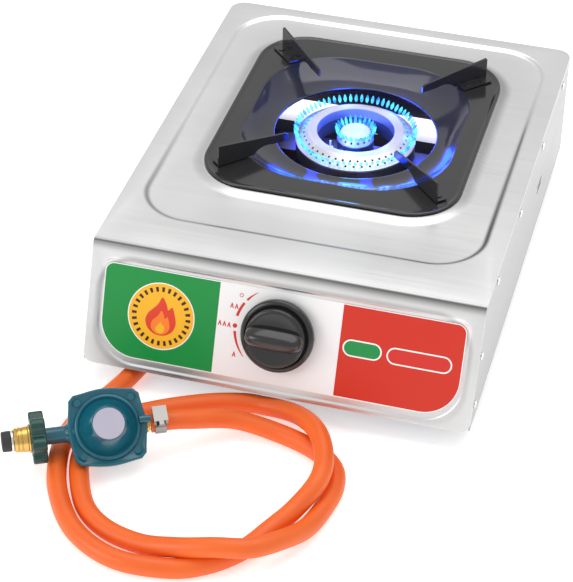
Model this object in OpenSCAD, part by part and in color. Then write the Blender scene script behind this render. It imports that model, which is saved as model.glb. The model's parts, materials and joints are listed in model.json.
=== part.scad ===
// One-burner camping stove with its gas hose and regulator.
// X runs across the stove, Y from front to back, Z up from the floor. Millimetres.

/* [Body] */
// Width of the body
body_w = 290; // [260:1:360]
// Depth of the flat top, from the front bend to the back
top_d = 355; // [330:1:440]
// Height of the body above the feet
body_h = 87; // [80:1:110]
// Angle between the front apron and the vertical
apron_angle = 22; // [15:1:28]
// Sheet thickness of the body
sheet_t = 1.2; // [0.8:0.1:1.6]
// Sheet thickness of the side and back panels
panel_t = 1; // [0.8:0.1:1.4]
// Radius of the rear upright corners
rear_r = 12; // [8:1:18]
// Radius of the bend between top and apron
bend_r = 4; // [3:0.5:6]
// Height of a rubber foot
foot_h = 17; // [15:1:25]
// Diameter of a rubber foot
foot_dia = 22; // [16:1:24]
// Distance from the body's side to a foot's centre
foot_inset = 21; // [18:1:25]

/* [Top] */
// Distance from the front bend to the recess
recess_front = 38; // [34:1:44]
// Distance from the back edge to the recess
recess_back = 11; // [8:1:14]
// Distance from a side to the recess
recess_side = 14; // [10:1:16]
// Corner radius of the recess
recess_r = 40; // [30:1:46]
// Depth of the recess
recess_drop = 2; // [1:0.5:3]
// Width of the opening for the drip tray
opening_w = 186; // [182:1:192]
// Depth of the opening for the drip tray
opening_d = 210; // [206:1:216]
// Corner radius of the opening
opening_r = 34; // [28:1:40]
// Rise of the rim around the opening
rim_rise = 2; // [1:0.5:3]
// Width of the rim's slope
rim_slope_w = 10; // [6:1:12]

/* [Burner] */
// Distance from the front bend to the burner's centre
burner_back = 202; // [196:1:208]
// Radius of the outer ring cap
ring_r = 47.4; // [45:0.1:50]
// Inner radius of the outer ring cap
ring_in_r = 30.6; // [29:0.1:32]
// Radius of the inner cap's foot
cap_r = 14.5; // [13:0.1:16]
// Ports in each row of the outer ring
ring_ports = 44; // [24:1:48]
// Diameter of a gas port
port_dia = 1.8; // [1:0.1:2.2]
// Distance of a mixing tube from the middle
tube_x = 18; // [16:0.5:20]
// Outer radius of a mixing tube
tube_r = 11; // [10:0.5:12]

/* [Drip tray] */
// Width of the drip tray
tray_w = 200; // [196:1:206]
// Depth of the drip tray
tray_d = 224; // [220:1:230]
// Corner radius of the drip tray
tray_r = 40; // [30:1:46]
// Thickness of the enamelled sheet
tray_t = 0.9; // [0.8:0.1:1.2]
// Radius of the burner hole in the tray
tray_hole_r = 64.3; // [60:0.1:68]
// Depth of the tray's bowl
bowl_depth = 12; // [9:0.5:13]
// Height of a pan support at its outer end
support_h = 17.6; // [14:0.1:22]
// Thickness of a pan support
support_t = 1.6; // [1.2:0.1:2.5]

/* [Control] */
// Distance of the knob's axis down the apron
knob_down = 46; // [42:1:50]
// Diameter of the knob's skirt
knob_dia = 54; // [46:1:60]
// Width of the ledge around the knob's face
knob_ledge = 5.15; // [3:0.05:8]
// Height of the knob's crest above the apron
knob_h = 26; // [22:1:30]
// Width of the knob's grip bar
grip_w = 14; // [10:1:16]
// Travel of the knob when it is pressed
push_travel = 3; // [2:0.5:3]
// Radius of the valve spindle
spindle_r = 3; // [2.5:0.1:3.5]

/* [Hose and regulator] */
// Outer diameter of the hose
hose_dia = 14; // [12:0.5:14]
// Radius of the regulator's flange corners
reg_flange_r = 30; // [27:1:30]
// Radius of the regulator's dome at its foot
reg_dome_r = 24; // [20:1:24]
// Height of the regulator's dome
reg_dome_h = 26; // [22:1:28]
// Radius of the handwheel
wheel_r = 18.5; // [16:0.5:18.5]
// Radius of the brass nut
nut_r = 9.2; // [8.5:0.1:9.2]

/* [Hidden] */
$fn = 64;
eps = 0.01;
far = 1000;
corner_steps = 12;

// Fasteners and clearances
screw_r = 1.75;
screw_hole_r = 1.8;
head_r = 3.2;
head_h = 1.6;
seat_gap = 0.3;
run_fit = 0.05;

// Derived places. The front bend is set so that the stove's own box is centred on Y = 0.
apron_tilt = 90 - apron_angle;
apron_len = body_h / cos(apron_angle);
grip_r = grip_w / 2;
front_reach = knob_down * sin(apron_angle) + (knob_h - grip_r) * cos(apron_angle) + grip_r;
y_bend = (front_reach - top_d - head_h) / 2;
y_back = y_bend + top_d;
top_z = foot_h + body_h;
side_x = body_w / 2;
burner_y = y_bend + burner_back;
recess_z = top_z - recess_drop;
rim_z = recess_z + rim_rise;
recess_w = body_w - 2 * recess_side;
recess_d = top_d - recess_front - recess_back;
recess_y = y_bend + recess_front + recess_d / 2;
recess_slope = 3.5;
rim_flat = (tray_w - opening_w) / 2 + 0.5;
knob_y = y_bend - knob_down * sin(apron_angle);
knob_z = top_z - knob_down * cos(apron_angle);

// Body details
flange_h = 14;
apron_corner_r = 7;
lap_w = 22;
bottom_flange = 34;
return_w = 14;
side_screw_z = top_z - 7.5;
back_screw_in = 20;
back_screw_x = [back_screw_in - side_x, 0, side_x - back_screw_in];
apron_screw_drop = [37.7, 71.1];
apron_screw_in = 8;
vent_len = 19;
vent_h = 2.4;
foot_screw_r = 2;
front_foot_y = y_bend - 1;
rear_foot_y = y_back - 30;

// Label
label_w = 268;
label_top = 15;
label_bottom = 85;
label_t = 0.4;
pocket_t = 0.5;
pocket_gap = 2.3;
label_top_r = 7;
label_bottom_r = 27;
label_under_knob = 4;
label_knob_r = knob_dia / 2 - label_under_knob;
knob_face_dia = knob_dia - 2 * knob_ledge;

// Burner heights, from the top of the body
ring_top = top_z - 7.5;
ring_foot = top_z - 15.5;
base_top = ring_foot - seat_gap;
base_bottom = top_z - 27.5;
tube_z = foot_h + 50;
tube_wall = 1.5;
tube_front = y_bend + 53;
tube_back = burner_y - 26;
ring_flat_r = 37.6;
rail_half = 12;
rail_h = 8;
rail_leg_x = side_x - 27;
rail_foot = 17;
well_r = 16.5;
base_in_r = 31;
base_out_r = 47;

// Tray heights
tray_foot = rim_z + seat_gap;
tray_top = tray_foot + 1.8;
bead_w = 2;
bowl_w = 166;
bowl_d = 177;
bowl_r = 60;
bowl_z = tray_top - bowl_depth;
support_out = [84.7, 91.2];
support_in = [42, 47.1];
foot_len = 27;
foot_w = 9;
foot_t = 0.9;
rivet_r = 1.6;
rivet_at = [6, 20];

// Valve, in a frame whose Z leaves the apron along the knob's axis
valve_r = 11;
plug_r = 6;
plug_top = -8.5;
plug_bottom = -29;
valve_deep = -34;
valve_ear = 17;
block_x = 26;
block_front = y_bend + 11;
block_back = y_bend + 35;
block_low = top_z - 64;
block_high = top_z - 28;
jet_r = 5;
inlet_x = 38;
inlet_z = 47;
inlet_r = 6.5;
skirt_low = push_travel + 0.6;
skirt_wall = 2.2;

// Hose route: round numbers chosen by hand, from the inlet to the regulator
hose_route = [
    [38, -117, 47], [38, -98, 47], [37, -76, 44], [29, -52, 37], [11, -30, 27], [-14, -18, 17],
    [-42, -18, 10], [-68, -30, 7], [-88, -52, 7], [-97, -83, 7], [-98, -116, 7], [-101, -148, 7],
    [-108, -181, 7], [-116, -208, 7], [-127, -234, 7], [-132, -259, 7], [-130, -285, 7],
    [-118, -319, 7], [-94, -352, 7], [-60, -370, 7], [-22, -369, 7], [2, -358, 7], [21, -339, 7],
    [34, -315, 8], [46, -296, 13], [56, -274, 21], [54, -250, 22], [42, -225, 22], [21, -203, 14],
    [-8, -193, 7], [-34, -197, 7], [-60, -208, 7], [-84, -222, 7], [-103, -237, 7], [-114, -257, 7],
    [-115, -280, 7], [-108, -303, 7], [-94, -329, 7], [-74, -345, 7], [-46, -354, 9], [-18, -357, 16],
    [7, -356, 22], [30, -350, 22], [46, -332, 17], [57, -309, 9], [63, -284, 7], [65, -262, 7],
    [59, -243, 7], [40, -228, 7], [10, -219, 8], [-20, -221, 14], [-46, -239, 23], [-58, -247.66, 26.5],
    [-71.5, -254.69, 26.5]];
hose_sides = 10;
wire_route = [[-block_x - 7, block_back + 2, block_low + 16], [-33, -114, 56], [-42, -98, 60],
    [-52, -60, 60], [-46, -10, 60], [-32, 18, 58], [-16, 26, 58]];
wire_r = 1.3;

// Regulator: origin on its stem under the dome, X along the stem towards the hose
reg_pos = [-99, -269, 26.5];
reg_tilt = 41;
reg_turn = 27.5;
stem_r = 6;
core_r = 4;
wheel_at = [-53, -43];
nut_at = [-64.5, -54];
nose_at = [-74, -64.5];
flange_z = [3, 8];
lobe_at = 23;
reg_screw_at = 26.7;
reg_screw_r = 1.4;
reg_head_r = 2.5;
barb_end = 31;
clamp_gap = 0.3;
clamp_w = 8;
clamp_t = 1;

function unit(v) = v / norm(v);
function arc(c, r, a0, a1, n) = [for (i = [0:n]) c + r * [cos(a0 + (a1 - a0) * i / n),
    sin(a0 + (a1 - a0) * i / n)]];
function rounded_points(w, d, r) = concat(
    arc([w / 2 - r, d / 2 - r], r, 0, 90, corner_steps), arc([r - w / 2, d / 2 - r], r, 90, 180,
        corner_steps),
    arc([r - w / 2, r - d / 2], r, 180, 270, corner_steps), arc([w / 2 - r, r - d / 2], r, 270, 360,
        corner_steps));
function tangent(p, i) = unit(p[min(i + 1, len(p) - 1)] - p[max(i - 1, 0)]);
function tube_ring(p, i, r, n) =
    let (t = tangent(p, i), side = unit(cross(t, [0, 0, 1])), up = cross(side, t))
    [for (k = [0:n - 1]) p[i] + r * (cos(360 * k / n) * side + sin(360 * k / n) * up)];
function tube_faces(m, n) = concat(
    [[for (k = [0:n - 1]) k]],
    [for (i = [0:m - 2], k = [0:n - 1]) [i * n + k, (i + 1) * n + k, (i + 1) * n + (k + 1) % n,
        i * n + (k + 1) % n]],
    [[for (k = [n - 1:-1:0]) (m - 1) * n + k]]);

// ---- shared shapes ----
module plate(w, d, r, z0, z1) {
    translate([0, 0, z0]) linear_extrude(z1 - z0) polygon(rounded_points(w, d, r));
}

// Sheet that slopes from one rounded outline to another inside it; each is [w, d, r, top z]
module sheet_slope(outer, inner, t) {
    below = outer[3] < inner[3] ? t + eps : 0;
    difference() {
        hull() {
            plate(outer[0], outer[1], outer[2], outer[3] - t, outer[3]);
            plate(inner[0], inner[1], inner[2], inner[3] - t, inner[3]);
        }
        hull() {
            plate(outer[0], outer[1], outer[2], outer[3] - below, outer[3] - below + eps);
            plate(inner[0], inner[1], inner[2], inner[3] - below, inner[3] - below + eps);
        }
        plate(inner[0], inner[1], inner[2], -far, far);
    }
}

module sweep_tube(p, r, n) {
    polyhedron(points = [for (i = [0:len(p) - 1]) each tube_ring(p, i, r, n)],
        faces = tube_faces(len(p), n));
}

// Frame of the apron: Z leaves the apron, Y runs up its slope, origin on the bend
module on_apron() { translate([0, y_bend, top_z]) rotate([apron_tilt, 0, 0]) children(); }
module on_knob_axis() { translate([0, knob_y, knob_z]) rotate([apron_tilt, 0, 0]) children(); }
module on_regulator() { translate(reg_pos) rotate([reg_tilt, 0, reg_turn]) children(); }
module along_x(x0, x1, r) { translate([x0, 0, 0]) rotate([0, 90, 0]) cylinder(r = r, h = x1 - x0); }
module along_y(x, z, y0, y1, r) { translate([x, y1, z]) rotate([90, 0, 0]) cylinder(r = r, h = y1 - y0); }

// Pan-head screw whose head stands along +Z on Z = 0
module pan_screw(len) {
    translate([0, 0, -len]) cylinder(r = screw_r, h = len + eps);
    difference() {
        intersection() {
            cylinder(r = head_r, h = head_h);
            translate([0, 0, head_h - 6]) sphere(6);
        }
        for (a = [0, 90]) rotate(a) translate([-2, -0.35, head_h - 0.8]) cube([4, 0.7, 1]);
    }
}

// Screw places on one side: [y, z]
side_screw_places = [[y_back - 42.5, side_screw_z], [y_bend + 221.5, side_screw_z],
    [y_bend + 128.5, side_screw_z], [y_bend + 42.5, side_screw_z],
    for (drop = apron_screw_drop) [y_bend - drop * tan(apron_angle) + apron_screw_in, top_z - drop]];

module at_side_screws(side) {
    for (q = side_screw_places) translate([side * side_x, q[0], q[1]]) rotate([0, side * 90, 0]) children();
}
module at_back_screws() {
    for (x = back_screw_x) translate([x, y_back, side_screw_z]) rotate([-90, 0, 0]) children();
}

// ---- body ----
module apron_outline(w, top, bottom, r_top, r_bottom) {
    translate([-w / 2 + r_top, -top - r_top]) square([w - 2 * r_top, r_top]);
    for (x = [-1, 1]) {
        translate([x * (w / 2 - r_top), -top - r_top]) circle(r_top);
        translate([x * (w / 2 - r_bottom), -bottom + r_bottom]) circle(r_bottom);
    }
    translate([-w / 2, -bottom + r_bottom]) square([w, bottom - top - r_top - r_bottom]);
    translate([-w / 2 + r_bottom, -bottom]) square([w - 2 * r_bottom, r_bottom + eps]);
}

module top_outline() {
    flat_y = y_bend + bend_r * tan(apron_tilt / 2) + 4;
    translate([-side_x, flat_y]) square([body_w, y_back - rear_r - flat_y]);
    translate([-side_x + rear_r, y_back - rear_r - eps]) square([body_w - 2 * rear_r, rear_r + eps]);
    for (x = [-1, 1]) translate([x * (side_x - rear_r), y_back - rear_r]) circle(rear_r);
}

// Section of the sheet from the flat top, round the bend and down the apron
module bend_profile() {
    foot_y = y_bend - body_h * tan(apron_angle);
    c = [y_bend + bend_r * tan(apron_tilt / 2), top_z - bend_r];
    polygon(concat([[c[0] + 8, top_z]], arc(c, bend_r, 90, 90 + apron_tilt, 8),
        [[foot_y, foot_h], [foot_y + sheet_t / cos(apron_angle), foot_h]],
        arc(c, bend_r - sheet_t, 90 + apron_tilt, 90, 8), [[c[0] + 8, top_z - sheet_t]]));
}

module top_shell() {
    hole_gap = 2;
    color("silver") difference() {
        union() {
            difference() {
                translate([0, 0, top_z - sheet_t]) linear_extrude(sheet_t) top_outline();
                translate([0, recess_y, 0]) plate(recess_w, recess_d, recess_r, 0, far);
            }
            translate([0, recess_y, 0]) sheet_slope([recess_w, recess_d, recess_r, top_z],
                [recess_w - 2 * recess_slope, recess_d - 2 * recess_slope, recess_r - recess_slope,
                    recess_z], sheet_t);
            difference() {
                translate([0, recess_y, 0]) plate(recess_w - 2 * recess_slope, recess_d - 2 * recess_slope,
                    recess_r - recess_slope, recess_z - sheet_t, recess_z);
                translate([0, burner_y, 0]) plate(opening_w + 2 * (rim_flat + rim_slope_w),
                    opening_d + 2 * (rim_flat + rim_slope_w), opening_r + rim_flat + rim_slope_w / 2,
                        0, far);
            }
            translate([0, burner_y, 0]) {
                sheet_slope([opening_w + 2 * (rim_flat + rim_slope_w),
                    opening_d + 2 * (rim_flat + rim_slope_w),
                        opening_r + rim_flat + rim_slope_w / 2, recess_z],
                    [opening_w + 2 * rim_flat, opening_d + 2 * rim_flat, opening_r + rim_flat, rim_z],
                        sheet_t);
                difference() {
                    plate(opening_w + 2 * rim_flat, opening_d + 2 * rim_flat, opening_r + rim_flat,
                        rim_z - sheet_t, rim_z);
                    plate(opening_w, opening_d, opening_r, 0, far);
                }
            }
            rotate([90, 0, 90]) translate([0, 0, -side_x]) linear_extrude(body_w) bend_profile();
            // inner flanges that the panels are screwed to
            for (x = [-1, 1]) translate([x * (side_x - panel_t - sheet_t / 2) - sheet_t / 2,
                y_bend + 12, top_z - flange_h])
                cube([sheet_t, top_d - 12 - rear_r - hole_gap, flange_h - eps]);
            translate([-side_x + lap_w, y_back - 2 * panel_t - sheet_t, top_z - flange_h])
                cube([body_w - 2 * lap_w, sheet_t, flange_h - eps]);
            // bottom return of the apron
            translate([-side_x + 10, y_bend - body_h * tan(apron_angle) + sheet_t, foot_h])
                cube([body_w - 20, return_w, sheet_t]);
        }
        on_apron() for (x = [-1, 1]) translate([x * (side_x - apron_corner_r),
            apron_corner_r - apron_len, 0])
            linear_extrude(2 * far, center = true) difference() {
                translate([x > 0 ? 0 : -apron_corner_r - 1, -apron_corner_r - 1])
                    square(apron_corner_r + 1);
                circle(apron_corner_r);
            }
        on_apron() translate([0, 0, -pocket_t]) linear_extrude(far) apron_outline(label_w + 2 * pocket_gap,
            label_top - pocket_gap, label_bottom + 2 * pocket_gap, label_top_r + pocket_gap,
                label_bottom_r + pocket_gap);
        on_knob_axis() {
            translate([0, 0, -5]) cylinder(r = spindle_r + 1.5, h = 10);
            for (x = [-1, 1]) translate([x * valve_ear, 0, -5]) cylinder(r = screw_hole_r, h = 10);
        }
        for (side = [-1, 1]) at_side_screws(side) translate([0, 0, -8]) cylinder(r = screw_hole_r, h = 9);
        at_back_screws() translate([0, 0, -8]) cylinder(r = screw_hole_r, h = 9);
    }
}

module panel_plan() {
    inner_r = rear_r - panel_t;
    translate([side_x - panel_t, y_bend - body_h]) square([panel_t, top_d + body_h - rear_r]);
    translate([side_x - lap_w, y_back - panel_t]) square([lap_w - rear_r, panel_t]);
    intersection() {
        translate([side_x - rear_r, y_back - rear_r]) difference() {
            circle(rear_r);
            circle(inner_r);
        }
        translate([side_x - rear_r - eps, y_back - rear_r - eps]) square(rear_r + 1);
    }
}

module side_panel(side) {
    color("silver") difference() {
        mirror([side < 0 ? 1 : 0, 0, 0]) union() {
            translate([0, 0, foot_h]) linear_extrude(body_h - sheet_t) panel_plan();
            translate([side_x - bottom_flange, y_bend - body_h, foot_h])
                cube([bottom_flange - eps, top_d + body_h - rear_r, panel_t]);
        }
        // front edge follows the back of the apron
        on_apron() translate([-far / 2, -far / 2, -sheet_t]) cube(far);
        // room for the apron's bottom return
        translate([-far / 2, y_bend - body_h, 0]) cube([far, body_h - body_h * tan(apron_angle)
            + return_w + 2, foot_h + sheet_t]);
        for (s = [-1, 1]) at_side_screws(s) translate([0, 0, -8]) cylinder(r = screw_hole_r, h = 9);
        at_back_screws() translate([0, 0, -8]) cylinder(r = screw_hole_r, h = 9);
        for (z = [0, 4.4]) translate([0, y_bend + 224, top_z - 48 + z]) rotate([0, 90, 0])
            linear_extrude(far, center = true) {
                square([vent_h, vent_len - vent_h], center = true);
                for (y = [-1, 1]) translate([0, y * (vent_len - vent_h) / 2]) circle(vent_h / 2);
            }
        at_feet() cylinder(r = foot_screw_r + 0.2, h = 2 * foot_h);
        for (s = [-1, 1], y = [-8, 8]) translate([s * (rail_leg_x + 8), burner_y + y, 0])
            cylinder(r = screw_hole_r, h = 2 * foot_h);
    }
}

module back_panel() {
    slot_h = 34;
    color("silver") difference() {
        translate([-side_x + rear_r + 1, y_back - 2 * panel_t, foot_h])
            cube([body_w - 2 * rear_r - 2, panel_t, body_h - sheet_t]);
        at_back_screws() translate([0, 0, -8]) cylinder(r = screw_hole_r, h = 9);
        for (i = [-5:5]) translate([i * 17, y_back + 5, foot_h + body_h / 2 - 6]) rotate([90, 0, 0])
            linear_extrude(20) {
            square([4, slot_h - 4], center = true);
            for (y = [-1, 1]) translate([0, y * (slot_h - 4) / 2]) circle(2);
        }
    }
}

module side_screws(side) { color("gainsboro") at_side_screws(side) pan_screw(6); }
module back_screws() { color("gainsboro") at_back_screws() pan_screw(6); }

module label_plate() {
    color("gold") on_apron() difference() {
        translate([0, 0, -pocket_t]) linear_extrude(label_t)
            apron_outline(label_w, label_top, label_bottom, label_top_r, label_bottom_r);
        translate([0, -knob_down, -5]) cylinder(r = label_knob_r, h = 10);
    }
}

module at_foot(sx, y) { translate([sx * (side_x - foot_inset), y, 0]) children(); }
module at_feet() {
    for (sx = [-1, 1]) {
        at_foot(sx, front_foot_y) children();
        at_foot(sx, rear_foot_y) children();
    }
}

module rubber_foot(sx, y) {
    color("dimgray") at_foot(sx, y) difference() {
        rotate_extrude() polygon([[0, 0], [foot_dia / 2 - 1.5, 0], [foot_dia / 2, 1.5],
            [foot_dia / 2 - 1, foot_h], [0, foot_h]]);
        translate([0, 0, -1]) cylinder(r = foot_screw_r + 2.4, h = 6);
        cylinder(r = foot_screw_r + 0.2, h = foot_h + 1);
    }
}

module foot_screws() {
    color("gainsboro") at_feet() {
        translate([0, 0, 2.6]) cylinder(r = foot_screw_r + 2, h = 2.4);
        translate([0, 0, 4]) cylinder(r = foot_screw_r, h = foot_h);
    }
}

// ---- burner ----
module burner_rail() {
    color("lightgray") translate([0, burner_y, 0]) difference() {
        union() {
            translate([-rail_leg_x, -rail_half, base_bottom - sheet_t]) cube([2 * rail_leg_x,
                2 * rail_half, sheet_t]);
            for (y = [-rail_half, rail_half - sheet_t]) translate([-rail_leg_x, y, base_bottom - rail_h])
                cube([2 * rail_leg_x, sheet_t, rail_h]);
            for (x = [-1, 1]) {
                translate([x * (rail_leg_x - sheet_t / 2) - sheet_t / 2, -rail_half, foot_h + panel_t])
                    cube([sheet_t, 2 * rail_half, base_bottom - foot_h - panel_t]);
                translate([x * (rail_leg_x + rail_foot / 2) - rail_foot / 2, -rail_half, foot_h + panel_t])
                    cube([rail_foot, 2 * rail_half, sheet_t]);
            }
        }
        for (x = [-1, 1], y = [-8, 8]) translate([x * (rail_leg_x + 8), y, 0])
            cylinder(r = screw_hole_r, h = 2 * foot_h);
        for (x = [-1, 1]) translate([x * 39, 0, 0]) cylinder(r = screw_hole_r, h = far);
    }
}

module rail_screws() {
    color("gainsboro") for (x = [-1, 1], y = [-8, 8])
        translate([x * (rail_leg_x + 8), burner_y + y, foot_h]) rotate([180, 0, 0]) pan_screw(5);
}

module outer_ring_cap() {
    wall = 2;
    slope_z = ring_foot + 1.5;
    row_r = [40.6, 44.4];
    color("lightgray") translate([0, burner_y, 0]) difference() {
        rotate_extrude() polygon([[ring_in_r, ring_foot], [ring_r, ring_foot], [ring_r, slope_z],
            [ring_flat_r, ring_top], [ring_in_r, ring_top]]);
        rotate_extrude() polygon([[ring_in_r + wall, ring_foot - 1], [ring_r - wall, ring_foot - 1],
            [ring_r - wall, slope_z - 0.5], [ring_flat_r - 0.6, ring_top - wall], [ring_in_r + wall,
                ring_top - wall]]);
        for (row = [0, 1], i = [0:ring_ports - 1]) rotate(360 * (i + row / 2) / ring_ports)
            translate([row_r[row], 0, ring_top - (row_r[row] - ring_flat_r) * 0.66]) rotate([0, 33, 0])
                cylinder(r = port_dia / 2, h = 7, center = true, $fn = 16);
    }
}

module inner_cap() {
    cap_top = ring_top - 0.5;
    color("lightgray") translate([0, burner_y, 0]) difference() {
        union() {
            rotate_extrude() polygon([[0, cap_top - 2], [cap_r - 4.5, cap_top - 2], [cap_r - 2.2,
                ring_foot], [cap_r, ring_foot],
                [cap_r, ring_foot + 1], [cap_r - 2.7, cap_top - 0.8], [cap_r - 3.4, cap_top], [0,
                    cap_top]]);
            translate([0, 0, ring_foot - 4]) cylinder(r = 3, h = cap_top - ring_foot + 3);
        }
        for (i = [0:15]) rotate(22.5 * i) translate([cap_r - 1.6, 0, ring_foot + 3.6]) rotate([0, 66, 0])
            cylinder(r = port_dia / 2, h = 8, center = true, $fn = 16);
    }
}

module burner_base() {
    wall = 2;
    color("gray") difference() {
        union() {
            translate([0, burner_y, base_bottom]) {
                difference() {
                    cylinder(r = base_out_r, h = base_top - base_bottom);
                    translate([0, 0, -1]) cylinder(r = base_in_r, h = far);
                }
                cylinder(r = well_r - 2, h = base_top - base_bottom);
                for (y = [-1, 1]) translate([-9, y * 24 - 12, 0]) cube([18, 24, 9]);
            }
            // spigot that centres the outer cap
            translate([0, burner_y, base_top]) difference() {
                cylinder(r = ring_in_r + 4.2, h = 2.5);
                translate([0, 0, -1]) cylinder(r = ring_in_r + 2.3, h = far);
            }
            for (x = [-1, 1]) along_y(x * tube_x, tube_z, tube_front, tube_back, tube_r);
        }
        // gas ways
        translate([0, burner_y, base_bottom + wall]) {
            difference() {
                cylinder(r = base_out_r - wall, h = far);
                translate([0, 0, -1]) cylinder(r = base_in_r + wall + 2, h = far);
            }
            cylinder(r = well_r - 4, h = far);
        }
        for (x = [-1, 1]) {
            along_y(x * tube_x, tube_z, tube_front + tube_wall, tube_back - tube_wall, tube_r - tube_wall);
            along_y(x * tube_x, tube_z, tube_front - 1, tube_front + 5, 6);
            translate([x * tube_x, burner_y - 36, tube_z]) cylinder(r = 5, h = 20);
            translate([x * 39, burner_y, base_bottom - 1]) cylinder(r = screw_r, h = 7);
        }
    }
}

module burner_screws() {
    color("gainsboro") for (x = [-1, 1])
        translate([x * 39, burner_y, base_bottom - sheet_t]) rotate([180, 0, 0]) pan_screw(4);
}

// Turning collar on the mouth of a mixing tube, with two air windows in its face
module air_shutter(side) {
    cup = 12;
    color("lightgray") difference() {
        along_y(side * tube_x, tube_z, tube_front - 1.5, tube_front + cup, tube_r + 1.6);
        along_y(side * tube_x, tube_z, tube_front - run_fit, tube_front + cup + 1, tube_r + run_fit);
        along_y(side * tube_x, tube_z, tube_front - 5, tube_front + 1, 6);
        for (a = [0, 180]) along_y(side * tube_x + 8.6 * cos(a), tube_z + 8.6 * sin(a), tube_front - 5,
            tube_front + 1, 1.9);
    }
}

module jet(side) {
    color("goldenrod") difference() {
        union() {
            along_y(side * tube_x, tube_z, block_back, block_back + 10, jet_r);
            along_y(side * tube_x, tube_z, block_back + 10 - eps, tube_front + 4, jet_r - 2.2);
        }
        along_y(side * tube_x, tube_z, block_back - 1, tube_front + 5, 0.6);
    }
}

// ---- valve and knob ----
module d_shaft(r, h) {
    intersection() {
        cylinder(r = r, h = h);
        translate([-r, -r, 0]) cube([2 * r, 1.7 * r, h]);
    }
}

module valve_body() {
    color("darkgoldenrod") difference() {
        union() {
            on_knob_axis() {
                translate([0, 0, valve_deep]) cylinder(r = valve_r, h = -valve_deep - sheet_t);
                translate([-valve_ear - 5, -6, -sheet_t - 3]) cube([2 * valve_ear + 10, 12, 3]);
            }
            translate([-block_x, block_front, block_low]) cube([2 * block_x, block_back - block_front,
                block_high - block_low]);
        }
        on_knob_axis() {
            translate([0, 0, plug_bottom]) cylinder(r = plug_r, h = 40);
            for (x = [-1, 1]) translate([x * valve_ear, 0, -sheet_t - 4]) cylinder(r = screw_r, h = 5);
        }
    }
}

module valve_plug() {
    color("goldenrod") on_knob_axis() difference() {
        translate([0, 0, plug_bottom + 0.2]) cylinder(r = plug_r - run_fit,
            h = plug_top - plug_bottom - 0.2);
        translate([0, 0, plug_bottom + 2]) d_shaft(spindle_r + run_fit, 30);
        translate([0, 0, plug_bottom + 1]) rotate([0, 90, 0]) cylinder(r = 1, h = 20);
    }
}

module valve_spindle() {
    color("silver") on_knob_axis() {
        translate([0, 0, plug_bottom + 2 + push_travel + 0.3]) d_shaft(spindle_r,
            skirt_low + 8 - plug_bottom - 5.3);
        translate([0, 0, -2.8]) cylinder(r = spindle_r + 1.4, h = 1);
    }
}

module spindle_spring() {
    color("gray") on_knob_axis() translate([0, 0, plug_top]) difference() {
        cylinder(r = spindle_r + 1.3, h = 5.7 - push_travel - 0.4);
        translate([0, 0, -1]) cylinder(r = spindle_r + 0.3, h = far);
    }
}

module valve_screws() {
    color("gainsboro") on_knob_axis() for (x = [-1, 1]) translate([x * valve_ear, 0, -pocket_t])
        pan_screw(3.5);
}

module knob() {
    face_r = knob_face_dia / 2;
    skirt_r = knob_dia / 2;
    face_h = knob_h - 10.5;
    crest = knob_h - grip_r;
    color("black") on_knob_axis() difference() {
        union() {
            rotate_extrude() polygon([[0, skirt_low], [skirt_r, skirt_low], [skirt_r, 6.4],
                [skirt_r - 1.6, 8.4],
                [face_r + 0.6, 8.8], [face_r + 0.6, 7.6], [face_r - 0.6, 7.6], [face_r, face_h - 1.5],
                    [face_r - 1.5, face_h], [0, face_h]]);
            intersection() {
                union() {
                    translate([-face_r, -grip_r, face_h - 1]) cube([2 * face_r, grip_w,
                        crest - face_h + 1]);
                    translate([0, 0, crest]) along_x(-face_r, face_r, grip_r);
                }
                cylinder(r = face_r - 0.4, h = far);
            }
        }
        difference() {
            translate([0, 0, -1]) cylinder(r = label_knob_r - 2.5, h = 9);
            cylinder(r = 7, h = far);
        }
        translate([0, 0, -1]) intersection() {
            cylinder(r = skirt_r - skirt_wall, h = skirt_low + 2.6);
            difference() {
                cylinder(r = far, h = far);
                cylinder(r = 7, h = far);
            }
        }
        d_shaft(spindle_r + 0.02, skirt_low + 8.2);
    }
}

// ---- ignition ----
module piezo_igniter() {
    color("dimgray") {
        translate([-block_x - 14, block_front, block_low + 6]) cube([14, block_back - block_front, 20]);
        along_y(-block_x - 7, block_low + 16, block_back - eps, block_back + 2, 2.5);
    }
}

module ignition_wire() { color("white") sweep_tube(wire_route, wire_r, 8); }

module electrode() {
    color("white") translate([-16, burner_y - 17, 0]) {
        translate([0, 0, foot_h + 42.5]) cylinder(r = 2.4, h = ring_foot - foot_h - 42.5);
        color("gray") translate([0, 0, ring_foot - 1]) cylinder(r = 0.8, h = 7);
    }
}

module electrode_bracket() {
    color("gray") translate([-21, burner_y - 22, base_bottom - rail_h]) difference() {
        cube([10, 22 - rail_half, 1]);
        translate([5, 5, -1]) cylinder(r = 2.45, h = 5);
    }
}

// ---- hose, clamps and inlet ----
module inlet_elbow() {
    inlet_y = block_back - 14;
    color("goldenrod") {
        translate([block_x, inlet_y, inlet_z]) rotate([0, 90, 0]) cylinder(r = 5, h = inlet_x - block_x);
        along_y(inlet_x, inlet_z, inlet_y - inlet_r, inlet_y + inlet_r, inlet_r);
        along_y(inlet_x, inlet_z, inlet_y, hose_route[0][1], 5);
    }
}

module hose() { color("orangered") sweep_tube(hose_route, hose_dia / 2, hose_sides); }

// Worm-drive clamp around X, from X = 0, with its housing towards +Z
module worm_clamp() {
    in_r = hose_dia / 2 + clamp_gap;
    difference() {
        union() {
            along_x(0, clamp_w, in_r + clamp_t);
            translate([-1, -6, in_r]) cube([clamp_w + 2, 12, 5.5]);
        }
        along_x(-2, clamp_w + 2, in_r);
        translate([clamp_w / 2, -8, in_r + 2.9]) rotate([-90, 0, 0]) cylinder(r = 2.1, h = 16);
    }
}

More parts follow.
